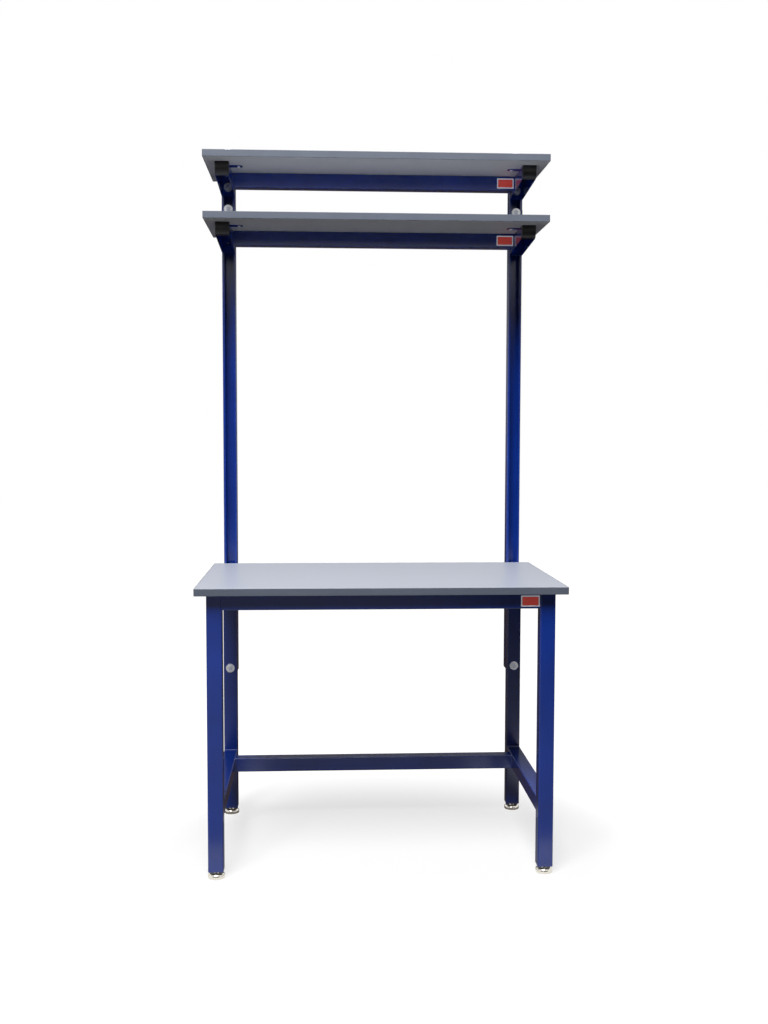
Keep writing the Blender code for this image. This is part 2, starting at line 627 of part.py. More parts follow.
def main():
    """Build the bench."""
    add_worktop()
    add_frame()
    for row in LEG_ROWS:
        for side in SIDES:
            add_glide(row, side)
    add_uprights()
    add_label("front_label", FRONT_LEG_Y - TUBE / 2, APRON_Z)
    add_shelf("lower_shelf", LOWER_SHELF_HEIGHT, {"high": UPPER_BOLT_RISE})
    add_shelf("upper_shelf", UPPER_SHELF_HEIGHT, {"high": UPPER_BOLT_RISE, "low": -LOWER_BOLT_DROP})


main()
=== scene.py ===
"""A steel workbench with a laminated top and two shelves on open uprights, dressed for a picture.

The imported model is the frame: each class below is one sub-assembly, takes its places from the
frame's nodes, builds the finer pieces that stand for them and gives them their finish. Lengths are
metres, +Z is up, the bench faces -Y and its footprint is centred on the origin.
"""

from __future__ import annotations

import logging
import math
from collections.abc import Iterable, Sequence
from dataclasses import dataclass, field
from enum import Enum
from typing import Any

import bmesh
import bpy
from mathutils import Matrix, Vector


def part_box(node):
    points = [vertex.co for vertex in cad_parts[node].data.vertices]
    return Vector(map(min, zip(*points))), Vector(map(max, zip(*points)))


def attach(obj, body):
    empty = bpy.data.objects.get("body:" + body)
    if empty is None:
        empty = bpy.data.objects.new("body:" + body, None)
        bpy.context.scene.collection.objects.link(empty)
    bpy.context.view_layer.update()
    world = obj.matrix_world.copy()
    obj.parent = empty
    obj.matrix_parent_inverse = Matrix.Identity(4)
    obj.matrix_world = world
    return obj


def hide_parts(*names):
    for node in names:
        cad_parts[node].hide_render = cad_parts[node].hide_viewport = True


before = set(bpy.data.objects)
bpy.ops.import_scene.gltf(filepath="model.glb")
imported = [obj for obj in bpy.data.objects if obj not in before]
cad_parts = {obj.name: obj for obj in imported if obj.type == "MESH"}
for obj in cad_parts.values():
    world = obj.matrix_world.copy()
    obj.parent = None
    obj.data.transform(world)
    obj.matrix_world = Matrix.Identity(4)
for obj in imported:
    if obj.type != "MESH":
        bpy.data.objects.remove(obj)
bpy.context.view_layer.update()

LOG = logging.getLogger("workbench")
MM = 0.001
QUARTER = math.pi / 2
SHARP_ANGLE = math.radians(35)
ROUND_STEPS = 48
FORGED_SLOPE = math.radians(30)
FORGED_TOP = 0.95
RIPPLE_STEP = 0.75
RIPPLE_SIZES = (0.88, 1.08)
RIPPLE_SEED = 7

Point = tuple[float, float]
Shape = bmesh.types.BMesh


class Side(Enum):
    """The left and the right half of the bench, as seen from its front."""

    LEFT = -1
    RIGHT = 1

    @property
    def word(self) -> str:
        """The side's name as the frame's nodes write it."""
        return self.name.lower()


class Slot(Enum):
    """The material slots of the record."""

    PAINT = "blue_paint"
    BOARD = "laminated_board"
    BAND = "edge_band"
    ZINC = "zinc"
    PLUG = "plug_steel"
    PLASTIC = "black_plastic"
    LABEL = "red_label"


class Along(Enum):
    """Turns that lay a shape made along +Z along another direction."""

    UP = Matrix.Identity(4)
    RIGHT = Matrix(((0, 0, 1, 0), (1, 0, 0, 0), (0, 1, 0, 0), (0, 0, 0, 1)))
    FRONT = Matrix(((1, 0, 0, 0), (0, 0, -1, 0), (0, 1, 0, 0), (0, 0, 0, 1)))

    def at(self, place: Sequence[float]) -> Matrix:
        """The turn, followed by a move of the shape's origin to a place."""
        return Matrix.Translation(place) @ self.value


# Colours and nodes


def linear(code: str) -> tuple[float, float, float, float]:
    """Turn an sRGB colour into the linear one that shaders work with.

    Args:
        code: The colour as a # and six hex digits.

    Returns:
        Red, green, blue and an alpha of 1.
    """
    parts = [int(code[start:start + 2], 16) / 255 for start in (1, 3, 5)]
    straight = [part / 12.92 if part <= 0.04045 else ((part + 0.055) / 1.055) ** 2.4 for part in parts]
    return (*straight, 1.0)


def add_node(tree: bpy.types.NodeTree, kind: str, settings: dict[str, Any] | None = None,
             inputs: dict[str | int, Any] | None = None) -> bpy.types.Node:
    """Add a node to a shader or geometry tree.

    Args:
        tree: The tree that takes the node.
        kind: Blender's name for the type of node.
        settings: The node's own settings, by name.
        inputs: A number, colour or output socket for each of its inputs, by name or number.

    Returns:
        The new node.
    """
    node = tree.nodes.new(kind)
    for key, value in (settings or {}).items():
        setattr(node, key, value)
    for key, value in (inputs or {}).items():
        if isinstance(value, bpy.types.NodeSocket):
            tree.links.new(value, node.inputs[key])
        else:
            node.inputs[key].default_value = value
    return node


# Finishes


@dataclass(frozen=True)
class Surface:
    """A material while a finish is drawn on it: its tree, its shader and the place on the piece."""

    tree: bpy.types.NodeTree
    shader: bpy.types.Node
    point: bpy.types.NodeSocket

    def blend(self, value: bpy.types.NodeSocket, between: Point, most: float,
              first: str, second: str) -> None:
        """Let the colour follow a pattern.

        Args:
            value: The pattern.
            between: Its values where the second colour starts and where it is strongest.
            most: The second colour's largest share.
            first: The colour where the pattern is low.
            second: The colour that is mixed in where it is high.
        """
        share = add_node(self.tree, "ShaderNodeMapRange", inputs={
            "Value": value, "From Min": between[0], "From Max": between[1], "To Min": 0.0, "To Max": most})
        mixed = add_node(self.tree, "ShaderNodeMix", {"data_type": "RGBA"}, {
            "Factor": share.outputs["Result"], 6: linear(first), 7: linear(second)})
        self.tree.links.new(mixed.outputs[2], self.shader.inputs["Base Color"])

    def roughen(self, value: bpy.types.NodeSocket, between: Point, least: float, most: float) -> None:
        """Let the roughness follow a pattern.

        Args:
            value: The pattern.
            between: Its values where the roughness is least and where it is most.
            least: The least roughness.
            most: The most.
        """
        rough = add_node(self.tree, "ShaderNodeMapRange", inputs={
            "Value": value, "From Min": between[0], "From Max": between[1], "To Min": least, "To Max": most})
        self.tree.links.new(rough.outputs["Result"], self.shader.inputs["Roughness"])

    def relief(self, height: bpy.types.NodeSocket, strength: float, depth: float) -> None:
        """Let the surface rise and fall with a pattern.

        Args:
            height: The pattern.
            strength: How much of it shows.
            depth: Its depth.
        """
        bump = add_node(self.tree, "ShaderNodeBump",
                        inputs={"Strength": strength, "Distance": depth, "Height": height})
        self.tree.links.new(bump.outputs["Normal"], self.shader.inputs["Normal"])


@dataclass(frozen=True)
class Finish:
    """A surface finish, and the slot of the record that it belongs to."""

    name: str
    slot: Slot
    colour: str
    roughness: float
    metallic: float = 0.0

    def material(self) -> bpy.types.Material:
        """Make the finish's material once.

        Returns:
            The new material, or the one that is there already.
        """
        made = bpy.data.materials.get(self.name)
        if made:
            return made
        made = bpy.data.materials.new(self.name)
        made.use_nodes = True
        tree = made.node_tree
        shader = tree.nodes["Principled BSDF"]
        shader.inputs["Base Color"].default_value = linear(self.colour)
        shader.inputs["Roughness"].default_value = self.roughness
        shader.inputs["Metallic"].default_value = self.metallic
        self.dress(Surface(tree, shader, add_node(tree, "ShaderNodeTexCoord").outputs["Object"]))
        return made

    def dress(self, on: Surface) -> None:
        """Add the finish's pattern to a material."""
        raise NotImplementedError


@dataclass(frozen=True)
class PowderCoat(Finish):
    """Gloss polyester powder coat, baked on: deep and even, with a faint orange peel and paler edges, partly
    a thinner coat and partly a painted highlight.
    """

    # Paler blue for the edges: partly a thinner coat, partly a painted highlight.
    thin: str = "#4A62B4"
    cloud: float = 140 * MM
    peel: float = 2.2 * MM
    edge: float = 1.2 * MM
    patch: float = 6 * MM
    specular: float = 0.8

    def dress(self, on: Surface) -> None:
        """Add the drift in depth, the paler edges (partly a thinner coat, partly a painted highlight) and
        the orange peel.

        Args:
            on: The material.
        """
        tree = on.tree
        drift = add_node(tree, "ShaderNodeTexNoise",
                         inputs={"Vector": on.point, "Scale": 1 / self.cloud, "Detail": 2.0})
        depth = add_node(tree, "ShaderNodeHueSaturation", inputs={"Color": linear(self.colour)})
        value = add_node(tree, "ShaderNodeMapRange", inputs={
            "Value": drift.outputs["Fac"], "From Min": 0.3, "From Max": 0.7, "To Min": 0.88, "To Max": 1.12})
        tree.links.new(value.outputs["Result"], depth.inputs["Value"])
        # Painted highlight, partly real: edges where the surface turns get a paler blue, for the thinner
        # coat there and for the bright line that light draws along them.
        rounded = add_node(tree, "ShaderNodeBevel", {"samples": 4}, {"Radius": self.edge})
        normal = add_node(tree, "ShaderNodeNewGeometry").outputs["Normal"]
        turn = add_node(tree, "ShaderNodeVectorMath", {"operation": "DOT_PRODUCT"},
                        {0: rounded.outputs["Normal"], 1: normal})
        thin = add_node(tree, "ShaderNodeMapRange", inputs={
            "Value": turn.outputs["Value"], "From Min": 0.97, "From Max": 0.82,
            "To Min": 0.0, "To Max": 0.25})
        patchy = add_node(tree, "ShaderNodeTexNoise",
                          inputs={"Vector": on.point, "Scale": 1 / self.patch, "Detail": 3.0})
        edges_worn_and_highlit = add_node(tree, "ShaderNodeMath", {"operation": "MULTIPLY"},
                        {0: thin.outputs["Result"], 1: patchy.outputs["Fac"]})
        colour = add_node(tree, "ShaderNodeMix", {"data_type": "RGBA"}, {
            "Factor": edges_worn_and_highlit.outputs["Value"], 6: depth.outputs["Color"], 7: linear(self.thin)})
        tree.links.new(colour.outputs[2], on.shader.inputs["Base Color"])
        peel = add_node(tree, "ShaderNodeTexNoise",
                        inputs={"Vector": on.point, "Scale": 1 / self.peel, "Detail": 1.0})
        on.relief(peel.outputs["Fac"], 0.25, 0.02 * MM)
        on.shader.inputs["Specular IOR Level"].default_value = self.specular


@dataclass(frozen=True)
class Laminate(Finish):
    """High-pressure laminate, pressed against a pebbled plate: even colour, fine flecks, satin sheen."""

    flecks: str = "#AEB4C2"
    fleck: float = 6 * MM
    pebble: float = 4 * MM
    wipe: float = 160 * MM
    wiping: float = 0.005

    def dress(self, on: Surface) -> None:
        """Add the flecks, the wiped patches and the pebbled surface.

        Real flecks and pebbles are about 0.5 mm, too fine for the picture, so both are coarser.

        Args:
            on: The material.
        """
        specks = add_node(on.tree, "ShaderNodeTexNoise", inputs={
            "Vector": on.point, "Scale": 1 / self.fleck, "Detail": 2.0, "Roughness": 0.6})
        on.blend(specks.outputs["Fac"], (0.45, 0.75), 0.1, self.colour, self.flecks)
        wiped = add_node(on.tree, "ShaderNodeTexNoise",
                         inputs={"Vector": on.point, "Scale": 1 / self.wipe, "Detail": 2.0})
        on.roughen(wiped.outputs["Fac"], (0.3, 0.7),
                   self.roughness - self.wiping, self.roughness + self.wiping)
        pebbles = add_node(on.tree, "ShaderNodeTexVoronoi", {"feature": "SMOOTH_F1"},
                           {"Vector": on.point, "Scale": 1 / self.pebble})
        on.relief(pebbles.outputs["Distance"], 0.06, 0.05 * MM)


@dataclass(frozen=True)
class Chipboard(Finish):
    """Raw sawn particle board: tan, with chips of several browns and a rough, open face."""

    dark: str = "#8E6B42"
    chip: float = 3.5 * MM
    lie: tuple[float, float, float] = (0.6, 0.6, 2.0)

    def dress(self, on: Surface) -> None:
        """Add the flat-lying chips, their colours and the roughness of the sawn face.

        Args:
            on: The material.
        """
        flat = add_node(on.tree, "ShaderNodeMapping", inputs={"Vector": on.point, "Scale": self.lie})
        chips = add_node(on.tree, "ShaderNodeTexVoronoi",
                         inputs={"Vector": flat.outputs["Vector"], "Scale": 1 / self.chip})
        shade = add_node(on.tree, "ShaderNodeSeparateColor", inputs={"Color": chips.outputs["Color"]})
        on.blend(shade.outputs["Red"], (0.0, 1.0), 1.0, self.colour, self.dark)
        on.relief(chips.outputs["Distance"], 0.5, 0.3 * MM)


@dataclass(frozen=True)
class ExtrudedEdging(Finish):
    """Extruded PVC edging, glued on and trimmed: slate grey, satin, with faint drawn lines."""

    pale: str = "#6B7280"
    line: float = 1.6 * MM
    drift: float = 90 * MM
    drawn: tuple[float, float, float] = (0.02, 0.02, 1.0)

    def dress(self, on: Surface) -> None:
        """Add the drawn lines along the edge and the slow drift of its grey.

        Args:
            on: The material.
        """
        along = add_node(on.tree, "ShaderNodeMapping", inputs={"Vector": on.point, "Scale": self.drawn})
        lines = add_node(on.tree, "ShaderNodeTexNoise", inputs={
            "Vector": along.outputs["Vector"], "Scale": 1 / self.line, "Detail": 3.0})
        drift = add_node(on.tree, "ShaderNodeTexNoise",
                         inputs={"Vector": on.point, "Scale": 1 / self.drift, "Detail": 2.0})
        on.blend(drift.outputs["Fac"], (0.35, 0.7), 0.35, self.colour, self.pale)
        on.relief(lines.outputs["Fac"], 0.2, 0.05 * MM)


@dataclass(frozen=True)
class Plating(Finish):
    """Plated steel: bright metal, with the cloudy patches of its passivation and fine tool marks."""

    clouds: str = "#A9ADB6"
    cloud: float = 5 * MM
    mark: float = 0.5 * MM

    def dress(self, on: Surface) -> None:
        """Add the clouds to the colour and the roughness, and the tool marks to the surface.

        Args:
            on: The material.
        """
        clouds = add_node(on.tree, "ShaderNodeTexNoise",
                          inputs={"Vector": on.point, "Scale": 1 / self.cloud, "Detail": 3.0})
        on.blend(clouds.outputs["Fac"], (0.4, 0.75), 0.6, self.colour, self.clouds)
        on.roughen(clouds.outputs["Fac"], (0.3, 0.7), self.roughness * 0.8, self.roughness * 1.25)
        marks = add_node(on.tree, "ShaderNodeTexNoise",
                         inputs={"Vector": on.point, "Scale": 1 / self.mark, "Detail": 2.0})
        on.relief(marks.outputs["Fac"], 0.15, 0.02 * MM)


@dataclass(frozen=True)
class MouldedPlastic(Finish):
    """Injection-moulded polythene with a spark-eroded grain: near black, soft and slightly waxy."""

    grain: float = 0.9 * MM
    patch: float = 22 * MM
    polish: float = 0.08

    def dress(self, on: Surface) -> None:
        """Add the grain, and the smoother patches that hands leave.

        Args:
            on: The material.
        """
        grain = add_node(on.tree, "ShaderNodeTexNoise",
                         inputs={"Vector": on.point, "Scale": 1 / self.grain, "Detail": 2.0})
        hands = add_node(on.tree, "ShaderNodeTexNoise",
                         inputs={"Vector": on.point, "Scale": 1 / self.patch, "Detail": 2.0})
        on.roughen(hands.outputs["Fac"], (0.35, 0.7),
                   self.roughness - self.polish, self.roughness + self.polish)
        on.relief(grain.outputs["Fac"], 0.3, 0.05 * MM)


@dataclass(frozen=True)
class PrintedFilm(Finish):
    """Screen-printed vinyl film: bright ink, mottled, under a clear gloss layer, with a faint painted glow
    in the ink's own colour.
    """

    blots: str = "#000000"
    blot: float = 4 * MM
    # Painted light: how strongly the ink glows in its own colour, though it is no lamp.
    shine: float = 0.2
    coat: float = 0.4
    coat_roughness: float = 0.15

    def dress(self, on: Surface) -> None:
        """Add the ink's mottle, a painted glow in the ink's colour and the clear layer.

        Args:
            on: The material.
        """
        blots = add_node(on.tree, "ShaderNodeTexNoise",
                         inputs={"Vector": on.point, "Scale": 1 / self.blot, "Detail": 3.0})
        on.blend(blots.outputs["Fac"], (0.4, 0.7), 0.25, self.colour, self.blots)
        # Painted light: each printed layer glows faintly in its own colour, so the label stays bright in the
        # worktop's shade.
        on.shader.inputs["Emission Color"].default_value = linear(self.colour)
        on.shader.inputs["Emission Strength"].default_value = self.shine
        on.shader.inputs["Coat Weight"].default_value = self.coat
        on.shader.inputs["Coat Roughness"].default_value = self.coat_roughness


# Sprayed on all of the steelwork.
ROYAL_BLUE = PowderCoat("blue_gloss_powder_coat", Slot.PAINT, "#0B318C", 0.2)
# The boards: a grey working face, a paler balancing sheet below, and tan chips where they are sawn.
TOP_SHEET = Laminate("grey_pressed_laminate", Slot.BOARD, "#C1C6D3", 0.3)
BACK_SHEET = Laminate("pale_backing_laminate", Slot.BOARD, "#CACACA", 0.5, flecks="#B8B8B8")
CORE = Chipboard("sawn_particle_board", Slot.BOARD, "#C6A578", 0.85)
EDGING = ExtrudedEdging("slate_extruded_edging", Slot.BAND, "#5D6472", 0.4)
# Zinc scatters light from its fine crystals, so it is not quite all metal and lighter than pure zinc.
ZINC = Plating("bright_zinc_plate", Slot.ZINC, "#FAFBFD", 0.4, 0.9, clouds="#DCE0E8")
# The bolts' zinc is darker and rougher than the washers': partly their own plating, partly painted shade
# that sets each hexagon off from its washer.
BOLT_ZINC_AND_SHADE = Plating("grey_zinc_plate", Slot.ZINC, "#D6DAE2", 0.48, 0.9, clouds="#A8ACB6")
NICKEL = Plating("polished_nickel_plate", Slot.ZINC, "#E8E4DA", 0.12, 1.0, clouds="#CFC9BC")
PLUG_STEEL = Plating("turned_mild_steel", Slot.PLUG, "#8D9096", 0.42, 1.0, clouds="#6E7177")
BLACK_CAP = MouldedPlastic("black_moulded_polythene", Slot.PLASTIC, "#0D0D0F", 0.36)
# The label's three printed layers, each with a faint painted glow.
LABEL_FILM = PrintedFilm("pale_printed_film", Slot.LABEL, "#F0EEF8", 0.35, blots="#DCD9EA")
LABEL_LINE = PrintedFilm("dark_red_printed_line", Slot.LABEL, "#6E2630", 0.35, blots="#501A22")
LABEL_FIELD = PrintedFilm("red_printed_field", Slot.LABEL, "#E95248", 0.35, blots="#D63C34")


# Outlines


def arc(centre: Point, radius: float, start: float, end: float, steps: int = 8) -> list[Point]:
    """Points along an arc, from one angle to another."""
    angles = [start + (end - start) * step / steps for step in range(steps + 1)]
    return [(centre[0] + radius * math.cos(a), centre[1] + radius * math.sin(a)) for a in angles]


def rounded_rectangle(width: float, depth: float, radius: float) -> list[Point]:
    """Draw a rectangle with round corners around its centre.

    Args:
        width: Its size along the first axis.
        depth: Its size along the second.
        radius: The radius of its corners.

    Returns:
        The outline, counter-clockwise.
    """
    x, y = width / 2 - radius, depth / 2 - radius
    points: list[Point] = []
    for quarter, centre in enumerate(((x, y), (-x, y), (-x, -y), (x, -y))):
        points += arc(centre, radius, quarter * QUARTER, (quarter + 1) * QUARTER)
    return points


def inset(points: Sequence[Point], distance: float) -> list[Point]:
    """Move every side of a counter-clockwise outline inwards.

    Args:
        points: The outline's corners.
        distance: How far each side moves.

    Returns:
        As many corners as before.
    """
    moved: list[Point] = []
    count = len(points)
    for step in range(count):
        here = Vector(points[step])
        into = (here - Vector(points[step - 1])).normalized()
        out = (Vector(points[(step + 1) % count]) - here).normalized()
        left, right = Vector((-into.y, into.x)), Vector((-out.y, out.x))
        place = here + (left + right) * distance / (1 + left.dot(right))
        moved.append((place.x, place.y))
    return moved


def rim(length: float, edge: float, steps: int = 3) -> list[Point]:
    """Place the rings of a side whose two rims are rounded.

    Args:
        length: The side's height.
        edge: The radius of its rims, or 0 for sharp ones.
        steps: The steps in each rim.

    Returns:
        How far in, and how high, each ring lies, from the foot up.
    """
    if not edge:
        return [(0.0, 0.0), (0.0, length)]
    angles = [QUARTER * step / steps for step in range(steps + 1)]
    foot = [(edge - edge * math.sin(a), edge - edge * math.cos(a)) for a in angles]
    return foot + [(inwards, length - height) for inwards, height in reversed(foot)]


# Shapes


def loft(rings: Sequence[Sequence[Sequence[float]]], wrap: bool = False) -> Shape:
    """Skin a row of rings of as many points each.

    Args:
        rings: The rings' points, in order.
        wrap: Join the last ring to the first, instead of closing both ends.

    Returns:
        A closed shape whose faces point outwards.
    """
    shape = bmesh.new()
    layers = [[shape.verts.new(point) for point in ring] for ring in rings]
    pairs = list(zip(layers, layers[1:])) + ([(layers[-1], layers[0])] if wrap else [])
    for low, high in pairs:
        for step, corner in enumerate(low):
            after = (step + 1) % len(low)
            shape.faces.new((corner, low[after], high[after], high[step]))
    if not wrap:
        shape.faces.new(tuple(reversed(layers[0])))
        shape.faces.new(tuple(layers[-1]))
    bmesh.ops.recalc_face_normals(shape, faces=shape.faces)
    return shape


def slab(outline: Sequence[Point], height: float, edge: float = 0.0) -> Shape:
    """Raise an outline from Z = 0 to a height, with both rims rounded."""
    return loft([[(x, y, z) for x, y in inset(outline, inwards)] for inwards, z in rim(height, edge)])


def tube(outline: Sequence[Point], wall: float, length: float, edge: float) -> Shape:
    """Make a hollow section from Z = 0 up, with open ends whose edges are rounded.

    Args:
        outline: Its outer outline.
        wall: Its wall.
        length: Its length.
        edge: The radius of the ends' edges.

    Returns:
        The section.
    """
    outer = [[(x, y, z) for x, y in inset(outline, inwards)] for inwards, z in rim(length, edge)]
    inner = [[(x, y, z) for x, y in inset(outline, wall - inwards)] for inwards, z in rim(length, edge)]
    return loft(outer + inner[::-1], wrap=True)


def turned(profile: Sequence[Point], wrap: bool = False) -> Shape:
    """Turn (radius, height) points about Z, with both ends closed, or as a ring."""
    angles = [2 * math.pi * step / ROUND_STEPS for step in range(ROUND_STEPS)]
    return loft([[(r * math.cos(a), r * math.sin(a), z) for a in angles] for r, z in profile], wrap)


def hexagon_head(across: float, height: float) -> Shape:
    """Make a hexagon whose top is turned down to a cone, as on a forged bolt head, from Z = 0 up.

    Args:
        across: The distance between two of its flats.
        height: Its height.

    Returns:
        The head.
    """
    inner, slope = across / 2, math.tan(FORGED_SLOPE)
    top = FORGED_TOP * inner
    rings: list[list[tuple[float, float, float]]] = [[], [], []]
    for step in range(ROUND_STEPS):
        angle = 2 * math.pi * step / ROUND_STEPS
        reach = inner / math.cos((angle % (math.pi / 3)) - math.pi / 6)
        x, y = math.cos(angle), math.sin(angle)
        rings[0].append((reach * x, reach * y, 0.0))
        rings[1].append((reach * x, reach * y, height - (reach - top) * slope))
        rings[2].append((top * x, top * y, height))
    return loft(rings)


def placed(shape: Shape, matrix: Matrix) -> Shape:
    """Move a shape to its place and return it."""
    shape.transform(matrix)
    return shape


def mesh_of(name: str, shapes: Iterable[Shape]) -> bpy.types.Mesh:
    """Put shapes together in one mesh, and let go of them.

    Args:
        name: The mesh's name.
        shapes: The shapes.

    Returns:
        The mesh.
    """
    whole = bmesh.new()
    for shape in shapes:
        part = bpy.data.meshes.new(name)
        shape.to_mesh(part)
        shape.free()
        whole.from_mesh(part)
        bpy.data.meshes.remove(part)
    mesh = bpy.data.meshes.new(name)
    whole.to_mesh(mesh)
    whole.free()
    return mesh


def add_object(name: str, mesh: bpy.types.Mesh) -> bpy.types.Object:
    """Put a mesh in the scene as an object at the origin.

    Args:
        name: The object's name.
        mesh: The mesh.

    Returns:
        The object.
    """
    item = bpy.data.objects.new(name, mesh)
    bpy.context.scene.collection.objects.link(item)
    return item


def settled(item: bpy.types.Object) -> bpy.types.Mesh:
    """Take an object out of the scene, and keep what its modifiers made.

    Args:
        item: The object.

    Returns:
        A plain mesh.
    """
    graph = bpy.context.evaluated_depsgraph_get()
    mesh = bpy.data.meshes.new_from_object(item.evaluated_get(graph))
    bpy.data.objects.remove(item)
    return mesh


def carve(shape: Shape, cutters: Iterable[Shape]) -> Shape:
    """Cut other shapes out of a shape.

    Args:
        shape: The shape that is cut.
        cutters: Closed shapes.

    Returns:
        What is left, as a new shape.
    """
    host = add_object("host", mesh_of("host", [shape]))
    tool = add_object("tool", mesh_of("tool", cutters))
    cut = host.modifiers.new("cut", "BOOLEAN")
    cut.operation = "DIFFERENCE"
    cut.solver = "EXACT"
    cut.object = tool
    mesh = settled(host)
    bpy.data.objects.remove(tool)
    carved = bmesh.new()
    carved.from_mesh(mesh)
    bpy.data.meshes.remove(mesh)
    return carved


# Geometry nodes


def new_tree(name: str, inputs: dict[str, str]) -> bpy.types.NodeTree:
    """Start a geometry tree with named inputs.

    Args:
        name: The tree's name.
        inputs: The type of each input after the geometry, by its name.

    Returns:
        The tree, with a group input and no output node yet.
    """
    tree = bpy.data.node_groups.new(name, "GeometryNodeTree")
    for key, kind in {"Geometry": "Geometry", **inputs, "Finish": "Material"}.items():
        tree.interface.new_socket(name=key, in_out="INPUT", socket_type="NodeSocket" + kind)
    tree.interface.new_socket(name="Geometry", in_out="OUTPUT", socket_type="NodeSocketGeometry")
    add_node(tree, "NodeGroupInput")
    return tree


def close_tree(tree: bpy.types.NodeTree, geometry: bpy.types.NodeSocket) -> bpy.types.NodeTree:
    """Make a tree's instances real, give them the finish and send them out.

    Args:
        tree: The tree.
        geometry: What it has made.

    Returns:
        The same tree, ready for use.
    """
    real = add_node(tree, "GeometryNodeRealizeInstances", inputs={"Geometry": geometry})
    dressed = add_node(tree, "GeometryNodeSetMaterial", inputs={
        "Geometry": real.outputs["Geometry"], "Material": tree.nodes["Group Input"].outputs["Finish"]})
    add_node(tree, "NodeGroupOutput", inputs={"Geometry": dressed.outputs["Geometry"]})
    return tree


def fastener_tree() -> bpy.types.NodeTree:
    """Repeat a fastener on points, each turned by its own angle, as they end up when tightened.

    Returns:
        The tree.
    """
    tree = new_tree("fasteners_on_points", {
        "Fastener": "Object", "Direction": "Vector", "Largest Turn": "Float", "Seed": "Int"})
    given = tree.nodes["Group Input"].outputs
    kind = add_node(tree, "GeometryNodeObjectInfo", inputs={"Object": given["Fastener"]})
    aim = add_node(tree, "FunctionNodeAlignRotationToVector", {"axis": "Z"},
                   {"Vector": given["Direction"]})
    copies = add_node(tree, "GeometryNodeInstanceOnPoints", inputs={
        "Points": given["Geometry"], "Instance": kind.outputs["Geometry"],
        "Rotation": aim.outputs["Rotation"]})
    turn = add_node(tree, "FunctionNodeRandomValue", {"data_type": "FLOAT"},
                    {2: 0.0, 3: given["Largest Turn"], "Seed": given["Seed"]})
    about = add_node(tree, "ShaderNodeCombineXYZ", inputs={"Z": turn.outputs[1]})
    turned_copies = add_node(tree, "GeometryNodeRotateInstances", inputs={
        "Instances": copies.outputs["Instances"], "Rotation": about.outputs["Vector"]})
    return close_tree(tree, turned_copies.outputs["Instances"])


def weld_tree() -> bpy.types.NodeTree:
    """Lay the ripples of a weld bead along edges: one drop for each step of the torch.

    Returns:
        The tree.
    """
    tree = new_tree("weld_ripples", {"Bead Radius": "Float", "Step": "Float", "Seed": "Int"})
    given = tree.nodes["Group Input"].outputs
    seam = add_node(tree, "GeometryNodeMeshToCurve", inputs={"Mesh": given["Geometry"]})
    steps = add_node(tree, "GeometryNodeResampleCurve", {"mode": "LENGTH"}, {
        "Curve": seam.outputs["Curve"], "Length": given["Step"]})
    drop = add_node(tree, "GeometryNodeMeshIcoSphere",
                    inputs={"Radius": given["Bead Radius"], "Subdivisions": 3})
    size = add_node(tree, "FunctionNodeRandomValue", {"data_type": "FLOAT"},
                    {2: RIPPLE_SIZES[0], 3: RIPPLE_SIZES[1], "Seed": given["Seed"]})
    drops = add_node(tree, "GeometryNodeInstanceOnPoints", inputs={
        "Points": steps.outputs["Curve"], "Instance": drop.outputs["Mesh"], "Scale": size.outputs[1]})
    return close_tree(tree, drops.outputs["Instances"])


def thread_tree() -> bpy.types.NodeTree:
    """Wind the ridge of a screw thread round a core, up from the origin.

    Returns:
        The tree.
    """
    tree = new_tree("screw_thread", {
        "Core Radius": "Float", "Ridge Radius": "Float", "Turns": "Float", "Length": "Float"})
    given = tree.nodes["Group Input"].outputs
    helix = add_node(tree, "GeometryNodeCurveSpiral", inputs={
        "Resolution": 24, "Rotations": given["Turns"], "Start Radius": given["Core Radius"],
        "End Radius": given["Core Radius"], "Height": given["Length"]})
    ridge = add_node(tree, "GeometryNodeCurvePrimitiveCircle",
                     inputs={"Resolution": 3, "Radius": given["Ridge Radius"]})
    wound = add_node(tree, "GeometryNodeCurveToMesh", inputs={
        "Curve": helix.outputs["Curve"], "Profile Curve": ridge.outputs["Curve"], "Fill Caps": True})
    core = add_node(tree, "GeometryNodeMeshCylinder", inputs={
        "Vertices": 32, "Radius": given["Core Radius"], "Depth": given["Length"]})
    half = add_node(tree, "ShaderNodeMath", {"operation": "MULTIPLY"}, {0: given["Length"], 1: 0.5})
    lift = add_node(tree, "ShaderNodeCombineXYZ", inputs={"Z": half.outputs["Value"]})
    raised = add_node(tree, "GeometryNodeTransform", inputs={
        "Geometry": core.outputs["Mesh"], "Translation": lift.outputs["Vector"]})
    both = add_node(tree, "GeometryNodeJoinGeometry", inputs={"Geometry": wound.outputs["Mesh"]})
    tree.links.new(raised.outputs["Geometry"], both.inputs["Geometry"])
    return close_tree(tree, both.outputs["Geometry"])


def grown(tree: bpy.types.NodeTree, seeds: bpy.types.Mesh, values: dict[str, Any]) -> bpy.types.Mesh:
    """Run a geometry tree on a mesh.

    Args:
        tree: The tree.
        seeds: The mesh that it starts from.
        values: A value for each of its inputs, by name.

    Returns:
        The result as a plain mesh.
    """
    host = add_object(tree.name, seeds)
    run = host.modifiers.new("run", "NODES")
    run.node_group = tree
    sockets = {item.name: item.identifier for item in tree.interface.items_tree if item.in_out == "INPUT"}
    for key, value in values.items():
        run[sockets[key]] = value
    return settled(host)


# Pieces


